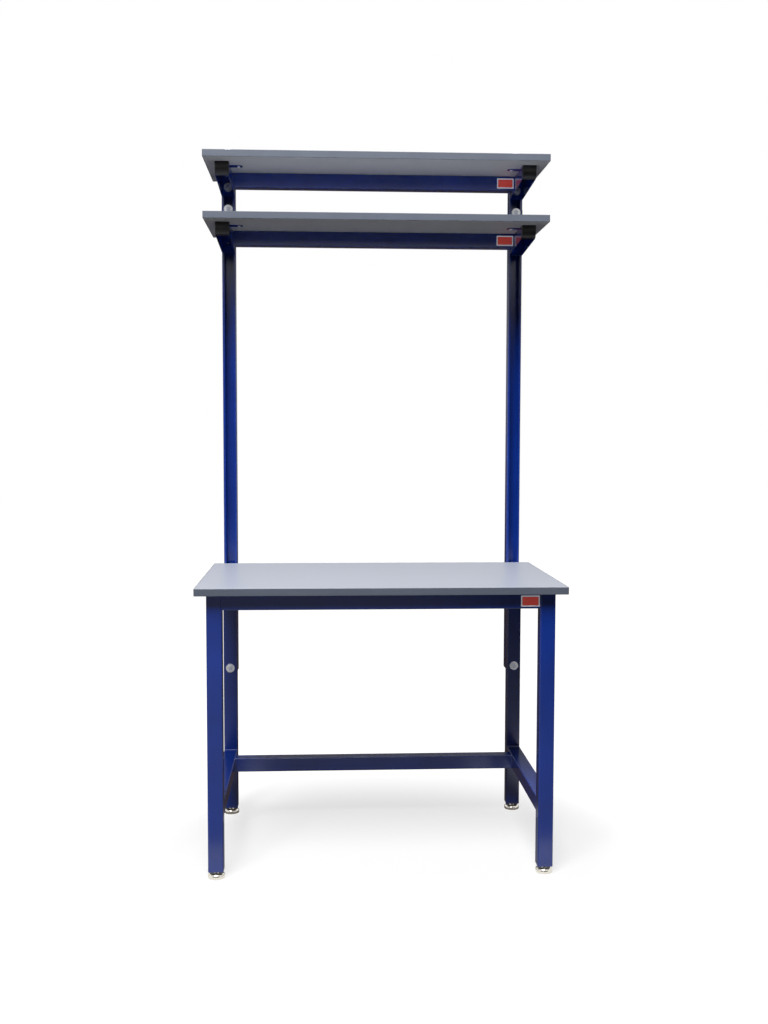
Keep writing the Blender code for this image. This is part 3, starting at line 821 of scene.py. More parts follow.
def add_piece(name: str, mesh: bpy.types.Mesh, body: str, finish: Finish,
              nodes: Iterable[str] = ()) -> None:
    """Make a mesh a finished piece of the bench.

    Args:
        name: The piece's name.
        mesh: Its mesh, in place.
        body: The body that it moves with.
        finish: What it is made of and how its surface looks.
        nodes: The frame's nodes that it stands for.
    """
    mesh.materials.clear()
    mesh.materials.append(finish.material())
    mesh.shade_smooth()
    mesh.set_sharp_from_angle(angle=SHARP_ANGLE)
    rough = add_object(name, mesh)
    weights = rough.modifiers.new("weights", "WEIGHTED_NORMAL")
    weights.keep_sharp = True
    final = settled(rough)
    final.name = name
    piece = add_object(name, final)
    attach(piece, body)
    if nodes:
        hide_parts(*nodes)
    LOG.info("%s: %d faces on %s", name, len(final.polygons), body)


@dataclass
class Assembly:
    """A group of pieces that move with one body of the frame."""

    body: str

    def add(self, name: str, shapes: Iterable[Shape], finish: Finish, *nodes: str) -> None:
        """Make one piece of some shapes."""
        add_piece(name, mesh_of(name, shapes), self.body, finish, nodes)

    def add_seams(self, name: str, seams: Sequence[tuple[Vector, Vector]], radius: float) -> None:
        """Lay painted weld beads along straight seams.

        Args:
            name: The piece's name.
            seams: The two ends of each seam.
            radius: The bead's radius.
        """
        lines = bpy.data.meshes.new(name)
        points = [point for seam in seams for point in seam]
        lines.from_pydata(points, [(step, step + 1) for step in range(0, len(points), 2)], [])
        mesh = grown(weld_tree(), lines, {
            "Bead Radius": radius, "Step": RIPPLE_STEP * radius, "Seed": RIPPLE_SEED,
            "Finish": ROYAL_BLUE.material()})
        add_piece(name, mesh, self.body, ROYAL_BLUE)


def dress_node(name: str, finish: Finish) -> None:
    """Give a node of the frame, whose shape stays, its finish.

    Args:
        name: The node's name.
        finish: The finish.
    """
    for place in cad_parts[name].material_slots:
        place.link = "OBJECT"
        place.material = finish.material()
    LOG.info("%s: kept, with %s", name, finish.name)


@dataclass
class Fasteners(Assembly):
    """Bolts with washers, or pan-head screws, all facing one way."""

    direction: tuple[float, float, float]
    across: float = 14.3 * MM
    head: float = 6 * MM
    shank: float = 4.8 * MM
    washer: float = 16.5 * MM
    washer_thickness: float = 2 * MM
    washer_edge: float = 0.4 * MM
    washer_play: float = 0.4 * MM
    pitch: float = 1.6 * MM
    groove: float = 0.5 * MM
    point: float = 0.8 * MM

    def threaded(self, length: float, plain: float) -> Shape:
        """Make a shank down from Z = 0, plain at first and then with the grooves of its thread.

        Args:
            length: Its whole length.
            plain: The length of its plain part.

        Returns:
            The shank.
        """
        profile: list[Point] = [(self.shank, 0.0), (self.shank, -plain)]
        for step in range(int((length - plain) / self.pitch)):
            height = -plain - step * self.pitch
            profile += [(self.shank - self.groove, height - self.pitch / 2),
                        (self.shank, height - self.pitch)]
        return turned(profile + [(self.shank - self.point, -length)])

    def bolt(self, length: float) -> list[Shape]:
        """A hexagon bolt that points up, with the washer's seat at Z = 0."""
        up = Matrix.Translation((0, 0, self.washer_thickness))
        return [placed(hexagon_head(self.across, self.head), up), self.threaded(length, length / 2)]

    def washer_ring(self) -> list[Shape]:
        """Make a punched washer with its rims rounded, from Z = 0 up.

        Returns:
            The washer, as a list of one shape.
        """
        rings = rim(self.washer_thickness, self.washer_edge)
        outer = [(self.washer - inwards, height) for inwards, height in rings]
        inner = [(self.shank + self.washer_play + inwards, height) for inwards, height in rings]
        return [turned(outer + inner[::-1], wrap=True)]

    def repeat(self, name: str, kind: list[Shape], points: Sequence[Vector], finish: Finish,
               nodes: Iterable[str]) -> None:
        """Set one fastener at each point.

        Args:
            name: The piece's name.
            kind: The fastener's shapes, pointing up.
            points: Where each one sits.
            finish: Their finish.
            nodes: The nodes that they stand for.
        """
        model = add_object("fastener", mesh_of("fastener", kind))
        seeds = bpy.data.meshes.new(name)
        seeds.from_pydata(points, [], [])
        mesh = grown(fastener_tree(), seeds, {
            "Fastener": model, "Direction": self.direction, "Largest Turn": math.pi / 3,
            "Seed": len(points), "Finish": finish.material()})
        bpy.data.objects.remove(model)
        add_piece(name, mesh, self.body, finish, nodes)

    def add_bolts(self, name: str, nodes: Sequence[str]) -> None:
        """Stand bolts and washers in for bolt nodes that face the front.

        Args:
            name: What the pieces' names start with.
            nodes: The bolt nodes.
        """
        boxes = [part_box(node) for node in nodes]
        reach = self.head + self.washer_thickness
        seats = [Vector(((low.x + high.x) / 2, low.y + reach, (low.z + high.z) / 2))
                 for low, high in boxes]
        length = boxes[0][1].y - boxes[0][0].y - reach
        self.repeat(name + "_bolts", self.bolt(length), seats, BOLT_ZINC_AND_SHADE, nodes)
        self.repeat(name + "_washers", self.washer_ring(), seats, ZINC, nodes)


@dataclass
class PanScrews(Fasteners):
    """Pan-head screws with a cross recess, driven up into a board."""

    shank: float = 2.4 * MM
    head_radius: float = 5.5 * MM
    head: float = 3 * MM
    head_foot: float = 0.96
    head_side: float = 0.25
    dome_angles: tuple[float, ...] = (0.0, 0.3, 0.6, 0.9, 1.2, 1.45)
    recess: float = 6.4 * MM
    recess_width: float = 1.3 * MM
    recess_corner: float = 0.3 * MM
    recess_floor: float = 0.45
    plain: float = 3 * MM

    def screw(self, length: float) -> list[Shape]:
        """Make a screw that points up from its head's seat at Z = 0, as its head is seen.

        Args:
            length: The length of its shank.

        Returns:
            The head with its recess, and the shank.
        """
        crown = 1 - self.head_side
        dome = [(self.head_radius * math.cos(a), self.head * (self.head_side + crown * math.sin(a)))
                for a in self.dome_angles]
        head = turned([(self.head_radius * self.head_foot, 0.0)] + dome)
        up = Matrix.Translation((0, 0, self.head * self.recess_floor))
        for size in ((self.recess, self.recess_width), (self.recess_width, self.recess)):
            head = carve(head, [placed(slab(rounded_rectangle(*size, self.recess_corner), self.head), up)])
        return [head, self.threaded(length, self.plain)]

    def add_screws(self, name: str, nodes: Sequence[str]) -> None:
        """Stand screws in for screw nodes whose heads look down.

        Args:
            name: The piece's name.
            nodes: The screw nodes.
        """
        boxes = [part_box(node) for node in nodes]
        seats = [Vector(((low.x + high.x) / 2, (low.y + high.y) / 2, low.z + self.head))
                 for low, high in boxes]
        length = boxes[0][1].z - boxes[0][0].z - self.head
        self.repeat(name, self.screw(length), seats, ZINC, nodes)


@dataclass
class Board(Assembly):
    """Particle board with a laminate sheet on each face."""

    sheet: float = 0.9 * MM
    sheet_edge: float = 0.25 * MM

    def build(self, node: str, outline: Sequence[Point], low: float, thickness: float) -> None:
        """Make the board's core and its two sheets.

        Args:
            node: The board's node.
            outline: The board seen from above.
            low: The height of its underside.
            thickness: Its whole thickness.
        """
        core = thickness - 2 * self.sheet
        for word, height, depth, edge, finish in (
            ("backing", 0.0, self.sheet, self.sheet_edge, BACK_SHEET),
            ("core", self.sheet, core, 0.0, CORE),
            ("laminate", self.sheet + core, self.sheet, self.sheet_edge, TOP_SHEET),
        ):
            layer = placed(slab(outline, depth, edge), Matrix.Translation((0, 0, low + height)))
            self.add(f"{node}_{word}", [layer], finish, node)


@dataclass
class Worktop(Assembly):
    """The worktop: its board, and the edging around it."""

    band: float = 2 * MM
    corner: float = 5 * MM
    arris: float = 1.2 * MM
    seam: float = 0.06 * MM

    def build(self) -> None:
        """Make the board and its edging."""
        low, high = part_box("worktop_edge_band")
        size = high - low
        middle = (low.y + high.y) / 2
        outer = [(x, y + middle) for x, y in rounded_rectangle(size.x, size.y, self.corner)]
        board = inset(outer, self.band + self.seam)
        Board(self.body).build("worktop_board", board, low.z, size.z)
        edging = tube(outer, self.band, size.z, self.arris)
        self.add("worktop_edging", [placed(edging, Matrix.Translation((0, 0, low.z)))], EDGING,
                 "worktop_edge_band")


@dataclass
class Tube:
    """Square steel tube, cut to length."""

    wall: float = 2 * MM
    corner: float = 3.4 * MM
    edge: float = 0.4 * MM

    def between(self, node: str, along: Along, overlap: float = 0.0) -> Shape:
        """Make a tube where a node is.

        Args:
            node: The node.
            along: Which way the tube runs.
            overlap: How far it is made longer at each end, into what it is welded to.

        Returns:
            The tube, in place.
        """
        low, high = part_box(node)
        size = high - low
        width, depth, length, start = {
            Along.UP: (size.x, size.y, size.z, Vector((0, 0, -size.z / 2))),
            Along.RIGHT: (size.y, size.z, size.x, Vector((-size.x / 2, 0, 0))),
            Along.FRONT: (size.x, size.z, size.y, Vector((0, size.y / 2, 0))),
        }[along]
        outline = rounded_rectangle(width, depth, self.corner)
        shape = tube(outline, self.wall, length + 2 * overlap, self.edge)
        back = Matrix.Translation((0, 0, -overlap))
        return placed(shape, along.at((low + high) / 2 + start) @ back)


@dataclass
class TubeFrame(Assembly):
    """The welded frame: four legs, the aprons, the low rails and the weld beads between them."""

    tube: Tube = field(default_factory=Tube)
    overlap: float = 0.5 * MM
    bead: float = 3 * MM
    flush_bead: float = 1.9 * MM
    sunk: float = 0.3 * MM

    def build(self) -> None:
        """Make the tubes and their welds."""
        for row in ("front", "rear"):
            for side in Side:
                node = f"{row}_{side.word}_leg"
                self.add_tube(node, Along.UP, 0.0)
                dress_node(node + "_plug", PLUG_STEEL)
        for node in ("front_apron", "rear_apron", "low_cross_rail"):
            self.add_tube(node, Along.RIGHT, self.overlap)
        for side in Side:
            for node in (f"{side.word}_apron", f"{side.word}_low_rail"):
                self.add_tube(node, Along.FRONT, self.overlap)
        self.add_seams("frame_fillet_welds", self.fillets(), self.bead)
        self.add_seams("frame_flush_welds", self.flush_seams(), self.flush_bead)

    def add_tube(self, node: str, along: Along, overlap: float) -> None:
        """Make one of the frame's tubes."""
        self.add(node + "_tube", [self.tube.between(node, along, overlap)], ROYAL_BLUE, node)

    def fillets(self) -> list[tuple[Vector, Vector]]:
        """Find the corners between two tubes that a bead fills.

        Returns:
            The two ends of each seam.
        """
        seams: list[tuple[Vector, Vector]] = []
        corner = self.tube.corner
        for node in ("front_apron", "rear_apron"):
            low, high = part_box(node)
            for x in (low.x, high.x):
                seams.append((Vector((x, low.y + corner, low.z)), Vector((x, high.y - corner, low.z))))
        for side in Side:
            for node, faces in ((f"{side.word}_apron", 1), (f"{side.word}_low_rail", 2)):
                low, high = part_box(node)
                for y in (low.y, high.y):
                    for z in (low.z, high.z)[:faces]:
                        seams.append((Vector((low.x + corner, y, z)), Vector((high.x - corner, y, z))))
        low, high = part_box("low_cross_rail")
        for x in (low.x, high.x):
            for y in (low.y, high.y):
                seams.append((Vector((x, y, low.z + corner)), Vector((x, y, high.z - corner))))
        return seams

    def flush_seams(self) -> list[tuple[Vector, Vector]]:
        """Find the grooves between tubes whose faces are level, which a bead fills just short of full.

        Returns:
            The two ends of each seam.
        """
        seams: list[tuple[Vector, Vector]] = []
        depth = self.flush_bead + self.sunk
        for node in ("front_apron", "rear_apron"):
            low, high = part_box(node)
            for x in (low.x, high.x):
                for y in (low.y + depth, high.y - depth):
                    seams.append((Vector((x, y, low.z + depth)), Vector((x, y, high.z - depth))))
        for side in Side:
            for node in (f"{side.word}_apron", f"{side.word}_low_rail"):
                low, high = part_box(node)
                for y in (low.y, high.y):
                    for x in (low.x + depth, high.x - depth):
                        seams.append((Vector((x, y, low.z + depth)), Vector((x, y, high.z - depth))))
        low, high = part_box("low_cross_rail")
        for x in (low.x, high.x):
            for z in (low.z + depth, high.z - depth):
                seams.append((Vector((x, low.y + depth, z)), Vector((x, high.y - depth, z))))
        return seams


@dataclass
class Glide(Assembly):
    """A levelling glide: a domed base with a rolled rim, a thin hexagon and a threaded stud."""

    node: str = ""
    radius: float = 28.5 * MM
    roll: float = 4 * MM
    shoulder: float = 7.5 * MM
    crown_radius: float = 22 * MM
    crown: float = 17 * MM
    across: float = 14.3 * MM
    hexagon: float = 3 * MM
    stud: float = 4.8 * MM
    pitch: float = 1.5 * MM
    ridge: float = 0.8 * MM
    sole: float = 3 * MM
    seat: float = 9 * MM
    seat_rise: float = 0.2 * MM
    sunk: float = 0.5 * MM
    tail: float = 1 * MM

    def build(self) -> None:
        """Make the base and the stud."""
        low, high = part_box(self.node)
        at = Matrix.Translation(((low.x + high.x) / 2, (low.y + high.y) / 2, low.z))
        width, height = self.radius - self.crown_radius, self.crown - self.shoulder
        foot = arc((self.radius - self.roll, self.roll), self.roll, -QUARTER, 0, 6)
        dome = [(self.crown_radius + width * x, self.shoulder + height * y)
                for x, y in arc((0, 0), 1, 0, QUARTER, 10)]
        inner = [(self.seat, self.crown + self.seat_rise)]
        base = turned([(self.radius - self.roll - self.sole, 0.0)] + foot + dome + inner)
        collar = placed(hexagon_head(self.across, self.hexagon), Matrix.Translation((0, 0, self.crown)))
        self.add(self.node + "_base", [placed(base, at), placed(collar, at)], NICKEL, self.node)
        start = self.crown + self.hexagon - self.sunk
        length = high.z - low.z - start - self.tail
        mesh = grown(thread_tree(), bpy.data.meshes.new("seed"), {
            "Core Radius": self.stud - self.ridge, "Ridge Radius": self.ridge,
            "Turns": length / self.pitch, "Length": length, "Finish": ZINC.material()})
        mesh.transform(at @ Matrix.Translation((0, 0, start)))
        add_piece(self.node + "_stud", mesh, self.body, ZINC, [self.node])


@dataclass
class Upright(Assembly):
    """An upright: a lipped channel, rolled from sheet and open to the front."""

    node: str = ""
    wall: float = 2.5 * MM
    lip: float = 9 * MM
    corner: float = 4.5 * MM
    edge: float = 0.5 * MM

    def outline(self, width: float, depth: float) -> list[Point]:
        """Draw the section, with its slot towards -Y and its front on Y = 0.

        Args:
            width: Its width.
            depth: Its depth.

        Returns:
            The outline, counter-clockwise.
        """
        half, inner = width / 2, self.corner - self.wall
        slot = half - self.lip
        right = [(slot, 0.0)] + arc((half - self.corner, self.corner), self.corner, -QUARTER, 0, 6)
        right += arc((half - self.corner, depth - self.corner), self.corner, 0, QUARTER, 6)
        inside = arc((half - self.corner, depth - self.corner), inner, QUARTER, 0, 6)
        inside += arc((half - self.corner, self.corner), inner, 0, -QUARTER, 6) + [(slot, self.wall)]
        return (right + [(-x, y) for x, y in reversed(right)]
                + [(-x, y) for x, y in reversed(inside)] + inside)

    def build(self) -> None:
        """Make the channel."""
        low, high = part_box(self.node)
        size = high - low
        channel = slab(self.outline(size.x, size.y), size.z, self.edge)
        at = Matrix.Translation(((low.x + high.x) / 2, low.y, low.z))
        self.add(self.node + "_channel", [placed(channel, at)], ROYAL_BLUE, self.node)


@dataclass
class LabelPlate(Assembly):
    """A plain plate: a pale border, a dark line and a red field, with nothing printed on it."""

    node: str = ""
    corner: float = 2 * MM
    border: float = 4 * MM
    line: float = 0.7 * MM
    edge: float = 0.1 * MM

    def build(self) -> None:
        """Make the plate's three layers, each smaller in outline than the one below."""
        low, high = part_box(self.node)
        size = high - low
        back = Along.FRONT.at(((low.x + high.x) / 2, high.y, (low.z + high.z) / 2))
        for word, inwards, corner, share, finish in (
            ("film", 0.0, self.corner, 0.6, LABEL_FILM),
            ("line", self.border, self.corner / 2, 0.8, LABEL_LINE),
            ("field", self.border + self.line, self.corner / 2, 1.0, LABEL_FIELD),
        ):
            outline = rounded_rectangle(size.x - 2 * inwards, size.z - 2 * inwards, corner)
            layer = slab(outline, size.y * share, self.edge)
            self.add(f"{self.node}_{word}", [placed(layer, back)], finish, self.node)


@dataclass
class Arm(Assembly):
    """A shelf arm folded from sheet, its plate, its tab and the plastic cap in its open end.

    Its own places run back from the upright's front face (Y) and up from the board's underside (Z).
    """

    shelf: str = ""
    side: Side = Side.LEFT
    width: float = 50 * MM
    wall: float = 2.5 * MM
    fold: float = 3.5 * MM
    tip: float = 46 * MM
    root: float = 64 * MM
    gap: float = 0.3 * MM
    plate: float = 4 * MM
    plate_corner: float = 3 * MM
    plate_edge: float = 0.5 * MM
    sunk: float = 0.1 * MM
    bolt_hole: float = 5.3 * MM
    drill: float = 20 * MM
    high_hole: float = -11 * MM
    low_hole: float = -32 * MM
    tab_radius: float = 15 * MM
    tab_thickness: float = 2 * MM
    tab_edge: float = 0.4 * MM
    cap_face: float = 18 * MM
    cap_edge: float = 1.6 * MM
    cap_wall: float = 2.2 * MM
    plug_length: float = 16 * MM
    plug_height: float = 36 * MM
    plug_fillet: float = 0.3 * MM
    plug_edge: float = 0.4 * MM

    def section(self, y: float, depth: float) -> list[tuple[float, float, float]]:
        """Draw the folded section at a place along the arm, open below.

        Args:
            y: The place.
            depth: How deep the section is there.

        Returns:
            The section's points.
        """
        half, top, inner = self.width / 2, -self.gap, self.fold - self.wall
        outer = [(half, -depth)] + arc((half - self.fold, top - self.fold), self.fold, 0, QUARTER, 5)
        inside = arc((half - self.fold, top - self.fold), inner, QUARTER, 0, 5)
        inside.append((half - self.wall, -depth))
        points = outer + [(-x, z) for x, z in reversed(outer)]
        points += [(-x, z) for x, z in reversed(inside)] + inside
        return [(x, y, z) for x, z in points]

    def build(self, under: float) -> None:
        """Make the arm and its cap.

        Args:
            under: The height of the board's underside.
        """
        node = f"{self.shelf}_{self.side.word}_arm"
        low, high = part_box(node)
        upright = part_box(f"{self.side.word}_upright")
        x = (upright[0].x + upright[1].x) / 2
        at = Matrix.Translation((x, upright[0].y, under))
        front = low.y - upright[0].y
        channel = loft([self.section(front, self.tip),
                        self.section(self.sunk - self.gap - self.plate, self.root)])
        top, foot = high.z - under, low.z - under
        outline = rounded_rectangle(self.width, top - foot, self.plate_corner)
        plate = slab([(px, py + (top + foot) / 2) for px, py in outline], self.plate, self.plate_edge)
        plate = placed(plate, Along.FRONT.at((0, -self.gap, 0)))
        holes = [placed(turned([(self.bolt_hole, -self.drill), (self.bolt_hole, self.drill)]),
                        Along.FRONT.at((0, 0, z))) for z in (top + self.high_hole, self.low_hole)]
        tab = placed(slab(self.tab_outline(x), self.tab_thickness, self.tab_edge),
                     Matrix.Translation((0, 0, -self.gap - self.tab_thickness)))
        shapes = [channel, carve(plate, holes), tab]
        self.add(node + "_bracket", [placed(shape, at) for shape in shapes], ROYAL_BLUE, node)
        self.add_cap(node + "_cap", front - self.gap, at)

    def tab_outline(self, x: float) -> list[Point]:
        """Draw the tab from above: round about its screw, with a tail into the arm.

        Args:
            x: The middle of the arm.

        Returns:
            The outline.
        """
        low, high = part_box(f"{self.shelf}_{self.side.word}_screw")
        centre_x = (low.x + high.x) / 2 - x
        centre_y = (low.y + high.y) / 2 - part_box("left_upright")[0].y
        away = 0.0 if self.side is Side.LEFT else math.pi
        points = arc((centre_x, centre_y), self.tab_radius, away - QUARTER, away + QUARTER, 16)
        return points + [(0.0, points[-1][1]), (0.0, points[0][1])]

    def add_cap(self, node: str, back: float, at: Matrix) -> None:
        """Make the cap: an upright face that curves back into its floor, and a hollow plug behind it.

        Args:
            node: The cap's node.
            back: Where its head ends, from the upright's front.
            at: The arm's place.
        """
        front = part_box(node)[0].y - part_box("left_upright")[0].y
        drop, depth = self.tip - self.cap_face, back - front
        curve = arc((0, 0), 1, 2 * QUARTER, 3 * QUARTER, 12)
        side = [(back + depth * x, drop * y - self.cap_face) for x, y in curve] + [(back, -self.gap)]
        side += arc((front + self.cap_edge, -self.gap - self.cap_edge), self.cap_edge,
                    QUARTER, 2 * QUARTER, 4)
        head = placed(slab(side, self.width, self.cap_edge), Along.RIGHT.at((-self.width / 2, 0, 0)))
        around = self.wall + self.gap
        outline = rounded_rectangle(self.width - 2 * around, self.plug_height,
                                    self.cap_wall + self.plug_fillet)
        plug = tube(outline, self.cap_wall, self.plug_length + self.cap_edge, self.plug_edge)
        middle = -self.gap - around - self.plug_height / 2
        plug = placed(plug, Along.FRONT.at((0, back + self.plug_length, middle)))
        self.add(node + "_moulding", [placed(shape, at) for shape in (head, plug)], BLACK_CAP, node)


@dataclass
class Shelf(Assembly):
    """A shelf: its board and edging, two arms, the rail between them and their fasteners."""

    bolts: tuple[str, ...] = ("high",)
    band: float = 2 * MM
    corner: float = 3 * MM
    arris: float = 0.9 * MM
    seam: float = 0.06 * MM
    notch: float = 27.4 * MM
    play: float = 2 * MM
    overlap: float = 0.5 * MM
    bead: float = 3 * MM
    tube: Tube = field(default_factory=Tube)

    def build(self) -> None:
        """Make the shelf's pieces."""
        low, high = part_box(f"{self.body}_edge_band")
        self.add_board(low, high)
        self.add_edging(low, high)
        rail = f"{self.body}_rail"
        self.add(rail + "_tube", [self.tube.between(rail, Along.RIGHT, self.overlap)], ROYAL_BLUE, rail)
        self.add_seams(f"{self.body}_welds", self.seams(rail), self.bead)
        LabelPlate(self.body, node=f"{self.body}_label").build()
        for side in Side:
            Arm(self.body, shelf=self.body, side=side).build(low.z)
            dress_node(f"{self.body}_{side.word}_nut_strip", ZINC)
        names = [f"{self.body}_{side.word}_bolt_{place}" for side in Side for place in self.bolts]
        Fasteners(self.body, (0, -1, 0)).add_bolts(self.body, names)
        screws = [f"{self.body}_{side.word}_screw" for side in Side]
        PanScrews(self.body, (0, 0, -1)).add_screws(f"{self.body}_screws", screws)

    def add_board(self, low: Vector, high: Vector) -> None:
        """Make the board, cut out around the two uprights.

        Args:
            low: The lowest corner of the edging.
            high: Its highest corner.
        """
        x, front, rear = high.x - self.band - self.seam, low.y + self.band + self.seam, high.y
        upright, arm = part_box("right_upright"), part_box(f"{self.body}_right_arm")
        middle = (upright[0].x + upright[1].x) / 2
        cut_front = arm[1].y - Arm.plate - self.play
        outside, inside = middle + self.notch, middle - self.notch
        outline = [(-x, front), (x, front), (x, rear), (outside, rear), (outside, cut_front),
                   (inside, cut_front), (inside, rear), (-inside, rear), (-inside, cut_front),
                   (-outside, cut_front), (-outside, rear), (-x, rear)]
        Board(self.body).build(f"{self.body}_board", outline, low.z, high.z - low.z)

    def add_edging(self, low: Vector, high: Vector) -> None:
        """Make the edging along the front and the two ends.

        Args:
            low: Its lowest corner.
            high: Its highest corner.
        """
        half, front, back = high.x, low.y, high.y
        corner_y = front + self.corner
        path = arc((self.corner - half, corner_y), self.corner, 2 * QUARTER, 3 * QUARTER, 6)
        path += arc((half - self.corner, corner_y), self.corner, 3 * QUARTER, 4 * QUARTER, 6)
        inner_x, inner_y = half - self.band, front + self.band
        outline = [(-half, back)] + path + [(half, back), (inner_x, back), (inner_x, inner_y),
                                            (-inner_x, inner_y), (-inner_x, back)]
        edging = placed(slab(outline, high.z - low.z, self.arris), Matrix.Translation((0, 0, low.z)))
        self.add(f"{self.body}_edging", [edging], EDGING, f"{self.body}_edge_band")

    def seams(self, rail: str) -> list[tuple[Vector, Vector]]:
        """Find the corners between the rail's ends and the arms.

        Args:
            rail: The rail's node.

        Returns:
            The two ends of each seam.
        """
        low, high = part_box(rail)
        corner = self.tube.corner
        found: list[tuple[Vector, Vector]] = []
        for x in (low.x, high.x):
            found.append((Vector((x, low.y + corner, low.z)), Vector((x, high.y - corner, low.z))))
            for y in (low.y, high.y):
                found.append((Vector((x, y, low.z + corner)), Vector((x, y, high.z - corner))))
        return found


def level(half: float, front: float, rear: float, height: float) -> list[tuple[float, float, float]]:
    """The corners of a card that lies over the floor."""
    return [(-half, front, height), (half, front, height), (half, rear, height), (-half, rear, height)]


def standing(half: float, y: float, low: float, high: float) -> list[tuple[float, float, float]]:
    """The corners of a card that stands across the room."""
    return [(-half, y, low), (half, y, low), (half, y, high), (-half, y, high)]


@dataclass(frozen=True)
class Glow:
    """A card's own light, which changes evenly from one colour to another along an axis."""

    axis: str
    start: float
    end: float
    first: tuple[float, float, float]
    last: tuple[float, float, float]

    def material(self, name: str) -> bpy.types.Material:
        """Make the card's material.

        Args:
            name: The material's name.

        Returns:
            A material that gives light and takes none.
        """
        made = bpy.data.materials.new(name)
        made.use_nodes = True
        tree = made.node_tree
        tree.nodes.remove(tree.nodes["Principled BSDF"])
        place = add_node(tree, "ShaderNodeTexCoord").outputs["Object"]
        along = add_node(tree, "ShaderNodeSeparateXYZ", inputs={"Vector": place}).outputs[self.axis]
        share = add_node(tree, "ShaderNodeMapRange", {"interpolation_type": "SMOOTHSTEP"}, {
            "Value": along, "From Min": self.start, "From Max": self.end})
        colour = add_node(tree, "ShaderNodeMix", {"data_type": "RGBA"}, {
            "Factor": share.outputs["Result"], 6: (*self.first, 1.0), 7: (*self.last, 1.0)})
        light = add_node(tree, "ShaderNodeEmission", inputs={"Color": colour.outputs[2]})
        tree.links.new(light.outputs[0], tree.nodes["Material Output"].inputs["Surface"])
        return made


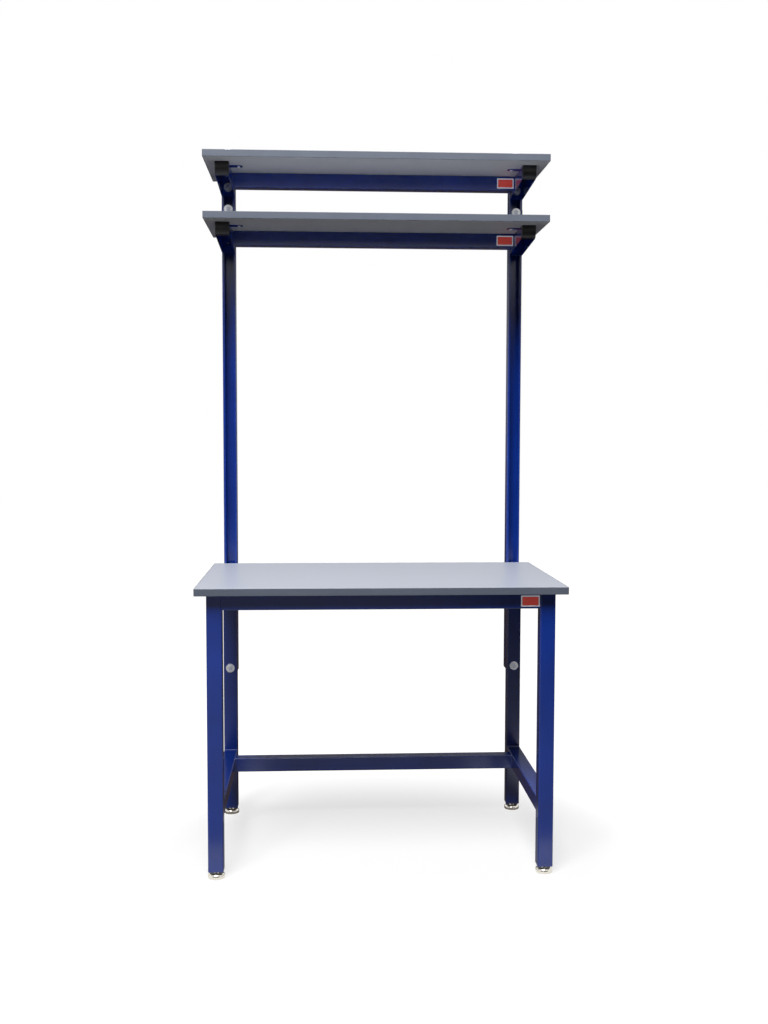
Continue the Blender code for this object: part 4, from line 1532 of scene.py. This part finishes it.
@dataclass
class Studio:
    """The floor, the light and the camera of the picture."""

    floor_half: float = 20.0
    floor_centre: tuple[float, float, float] = (0.0, 0.2, 0.0)
    floor_stretch: tuple[float, float, float] = (1.0, 1.4, 1.0)
    floor_shade: str = "#8C8C8C"
    floor_dim: str = "#606060"
    floor_glow: float = 0.73
    white_from: float = 0.7
    white_to: float = 1.4
    sky: float = 0.03
    lamp_place: tuple[float, float, float] = (-1.1, -4.1, 7.2)
    lamp_aim: tuple[float, float, float] = (0.0, 0.0, 1.0)
    lamp_size: float = 3.4
    lamp_power: float = 800.0
    sensor: float = 36.0
    lens: float = 41.446
    camera_place: tuple[float, float, float] = (-0.19915, -4.19194, 1.4677)
    yaw: float = 0.05342
    pitch: float = 0.0657
    roll: float = 0.00198

    def build(self) -> None:
        """Make the floor, the cards, the lamp and the camera."""
        self.add_floor()
        self.add_cards()
        self.add_world()
        self.add_lamp()
        self.add_camera()

    def add_floor(self) -> None:
        """Make a white floor that keeps the bench's soft shadow.

        The camera and gloss see mostly its own white. What lights the bench from below is a mid grey.
        """
        material = bpy.data.materials.new("white_studio_paper")
        material.use_nodes = True
        tree = material.node_tree
        tree.nodes.remove(tree.nodes["Principled BSDF"])
        seen = self.seen_rays(tree)
        place = add_node(tree, "ShaderNodeTexCoord").outputs["Object"]
        round_bench = add_node(tree, "ShaderNodeMapping", inputs={
            "Vector": place, "Location": self.floor_centre, "Scale": self.floor_stretch})
        away = add_node(tree, "ShaderNodeVectorMath", {"operation": "LENGTH"},
                        {0: round_bench.outputs["Vector"]})
        far = add_node(tree, "ShaderNodeMapRange", {"interpolation_type": "SMOOTHSTEP"}, {
            "Value": away.outputs["Value"], "From Min": self.white_from, "From Max": self.white_to,
            "To Min": self.floor_glow, "To Max": 1.0})
        shade = add_node(tree, "ShaderNodeBsdfDiffuse", inputs={"Color": linear(self.floor_shade)})
        glow = add_node(tree, "ShaderNodeEmission", inputs={"Strength": far.outputs["Result"]})
        pale = add_node(tree, "ShaderNodeAddShader", inputs={0: shade.outputs[0], 1: glow.outputs[0]})
        dim = add_node(tree, "ShaderNodeBsdfDiffuse", inputs={"Color": linear(self.floor_dim)})
        both = add_node(tree, "ShaderNodeMixShader",
                        inputs={0: seen, 1: dim.outputs[0], 2: pale.outputs[0]})
        tree.links.new(both.outputs[0], tree.nodes["Material Output"].inputs["Surface"])
        half = self.floor_half
        self.add_card("studio_floor", level(half, -half, half, 0.0), material)

    def seen_rays(self, tree: bpy.types.NodeTree) -> bpy.types.NodeSocket:
        """Tell the rays that show the background, straight, mirrored or through glass, from the rest.

        Args:
            tree: The tree of the floor or the world.

        Returns:
            A socket that is 1 for those rays and 0 for those that light the bench.
        """
        path = add_node(tree, "ShaderNodeLightPath").outputs
        direct = add_node(tree, "ShaderNodeMath", {"operation": "MAXIMUM"},
                          {0: path["Is Camera Ray"], 1: path["Is Glossy Ray"]})
        both = add_node(tree, "ShaderNodeMath", {"operation": "MAXIMUM"},
                        {0: direct.outputs[0], 1: path["Is Transmission Ray"]})
        return both.outputs[0]

    def add_card(self, name: str, corners: Sequence[Sequence[float]],
                 material: bpy.types.Material) -> bpy.types.Object:
        """Make a flat card of the studio.

        Args:
            name: The card's name.
            corners: Its corners.
            material: Its material.

        Returns:
            The card.
        """
        mesh = bpy.data.meshes.new(name)
        mesh.from_pydata(corners, [], [range(len(corners))])
        mesh.materials.append(material)
        card = add_object(name, mesh)
        return card

    def add_cards(self) -> None:
        """Stand for the room around the floor: dim cards that only gloss sees."""
        half, far, near, back, end = 8.0, -7.0, -0.7, 0.0, 19.0
        step, rise, lower, upper = -0.3, 0.22, 2 * MM, 3 * MM
        pale, grey, dull = (0.85, 0.85, 0.85), (0.38, 0.38, 0.4), (0.25, 0.25, 0.27)
        shade, soot, black = (0.15, 0.15, 0.16), (0.09, 0.09, 0.1), (0.02, 0.02, 0.025)
        brown, dusk = (0.06, 0.045, 0.04), (0.24, 0.24, 0.26)
        for name, corners, glow in (
            ("front_floor", level(half, far, near, lower), Glow("X", 0.3, 1.7, grey, black)),
            ("front_wall", standing(half, far, 0.0, 3.0), Glow("X", 0.0, 1.7, soot, black)),
            ("inner_floor", level(0.45, -0.9, step, upper), Glow("Y", -0.9, step, grey, dull)),
            ("under_floor", level(0.62, step, rise, upper), Glow("Y", step, rise, dull, shade)),
            ("rear_floor", level(half, back, end, lower), Glow("Y", back, 0.42, pale, brown)),
            ("rear_wall", standing(half, end, 0.0, 4.2), Glow("Z", 0.0, 2.5, brown, dusk)),
            ("rear_rise", standing(half, end, 4.2, 7.0), Glow("Z", 4.2, 5.0, dusk, black)),
        ):
            card = self.add_card(name, corners, glow.material(name + "_glow"))
            card.visible_camera = False
            card.visible_diffuse = False
            card.visible_transmission = False
            card.visible_shadow = False

    def add_world(self) -> None:
        """Light the bench from all round, and show white where the camera or gloss sees past it."""
        world = bpy.data.worlds.new("studio")
        world.use_nodes = True
        bpy.context.scene.world = world
        tree = world.node_tree
        strength = add_node(tree, "ShaderNodeMapRange", inputs={
            "Value": self.seen_rays(tree), "To Min": self.sky, "To Max": 1.0})
        background = tree.nodes["Background"]
        background.inputs["Color"].default_value = linear("#FFFFFF")
        tree.links.new(strength.outputs["Result"], background.inputs["Strength"])

    def add_lamp(self) -> None:
        """Hang the soft box, high up in front and a little to the left."""
        light = bpy.data.lights.new("key", "AREA")
        light.size = self.lamp_size
        light.energy = self.lamp_power
        lamp = bpy.data.objects.new("key", light)
        lamp.location = self.lamp_place
        down = Vector(self.lamp_aim) - Vector(self.lamp_place)
        lamp.rotation_euler = down.to_track_quat("-Z", "Y").to_euler()
        lamp.visible_camera = False
        bpy.context.scene.collection.objects.link(lamp)

    def add_camera(self) -> None:
        """Stand the camera where the photograph was taken from."""
        data = bpy.data.cameras.new("camera")
        data.sensor_width = self.sensor
        data.lens = self.lens
        camera = bpy.data.objects.new("camera", data)
        turn = Matrix.Rotation(-self.yaw, 4, "Z") @ Matrix.Rotation(QUARTER - self.pitch, 4, "X")
        turn = turn @ Matrix.Rotation(self.roll, 4, "Z")
        camera.matrix_world = Matrix.Translation(self.camera_place) @ turn
        bpy.context.scene.collection.objects.link(camera)
        bpy.context.scene.camera = camera
        bpy.context.scene.view_settings.view_transform = "Standard"


def main() -> None:
    """Build the bench and its studio."""
    logging.basicConfig(level=logging.INFO, format="%(name)s %(message)s")
    Worktop("bench_frame").build()
    TubeFrame("bench_frame").build()
    LabelPlate("bench_frame", node="front_label").build()
    for side in Side:
        Upright("bench_frame", node=f"{side.word}_upright").build()
        dress_node(f"{side.word}_upright_nut_strip", ZINC)
        for row in ("front", "rear"):
            Glide(f"{row}_{side.word}_foot", node=f"{row}_{side.word}_glide").build()
    bolts = [f"{side.word}_upright_bolt_{place}" for side in Side for place in ("low", "high")]
    Fasteners("bench_frame", (0, -1, 0)).add_bolts("upright", bolts)
    Shelf("lower_shelf").build()
    Shelf("upper_shelf", bolts=("low", "high")).build()
    Studio().build()


if __name__ == "__main__":
    main()
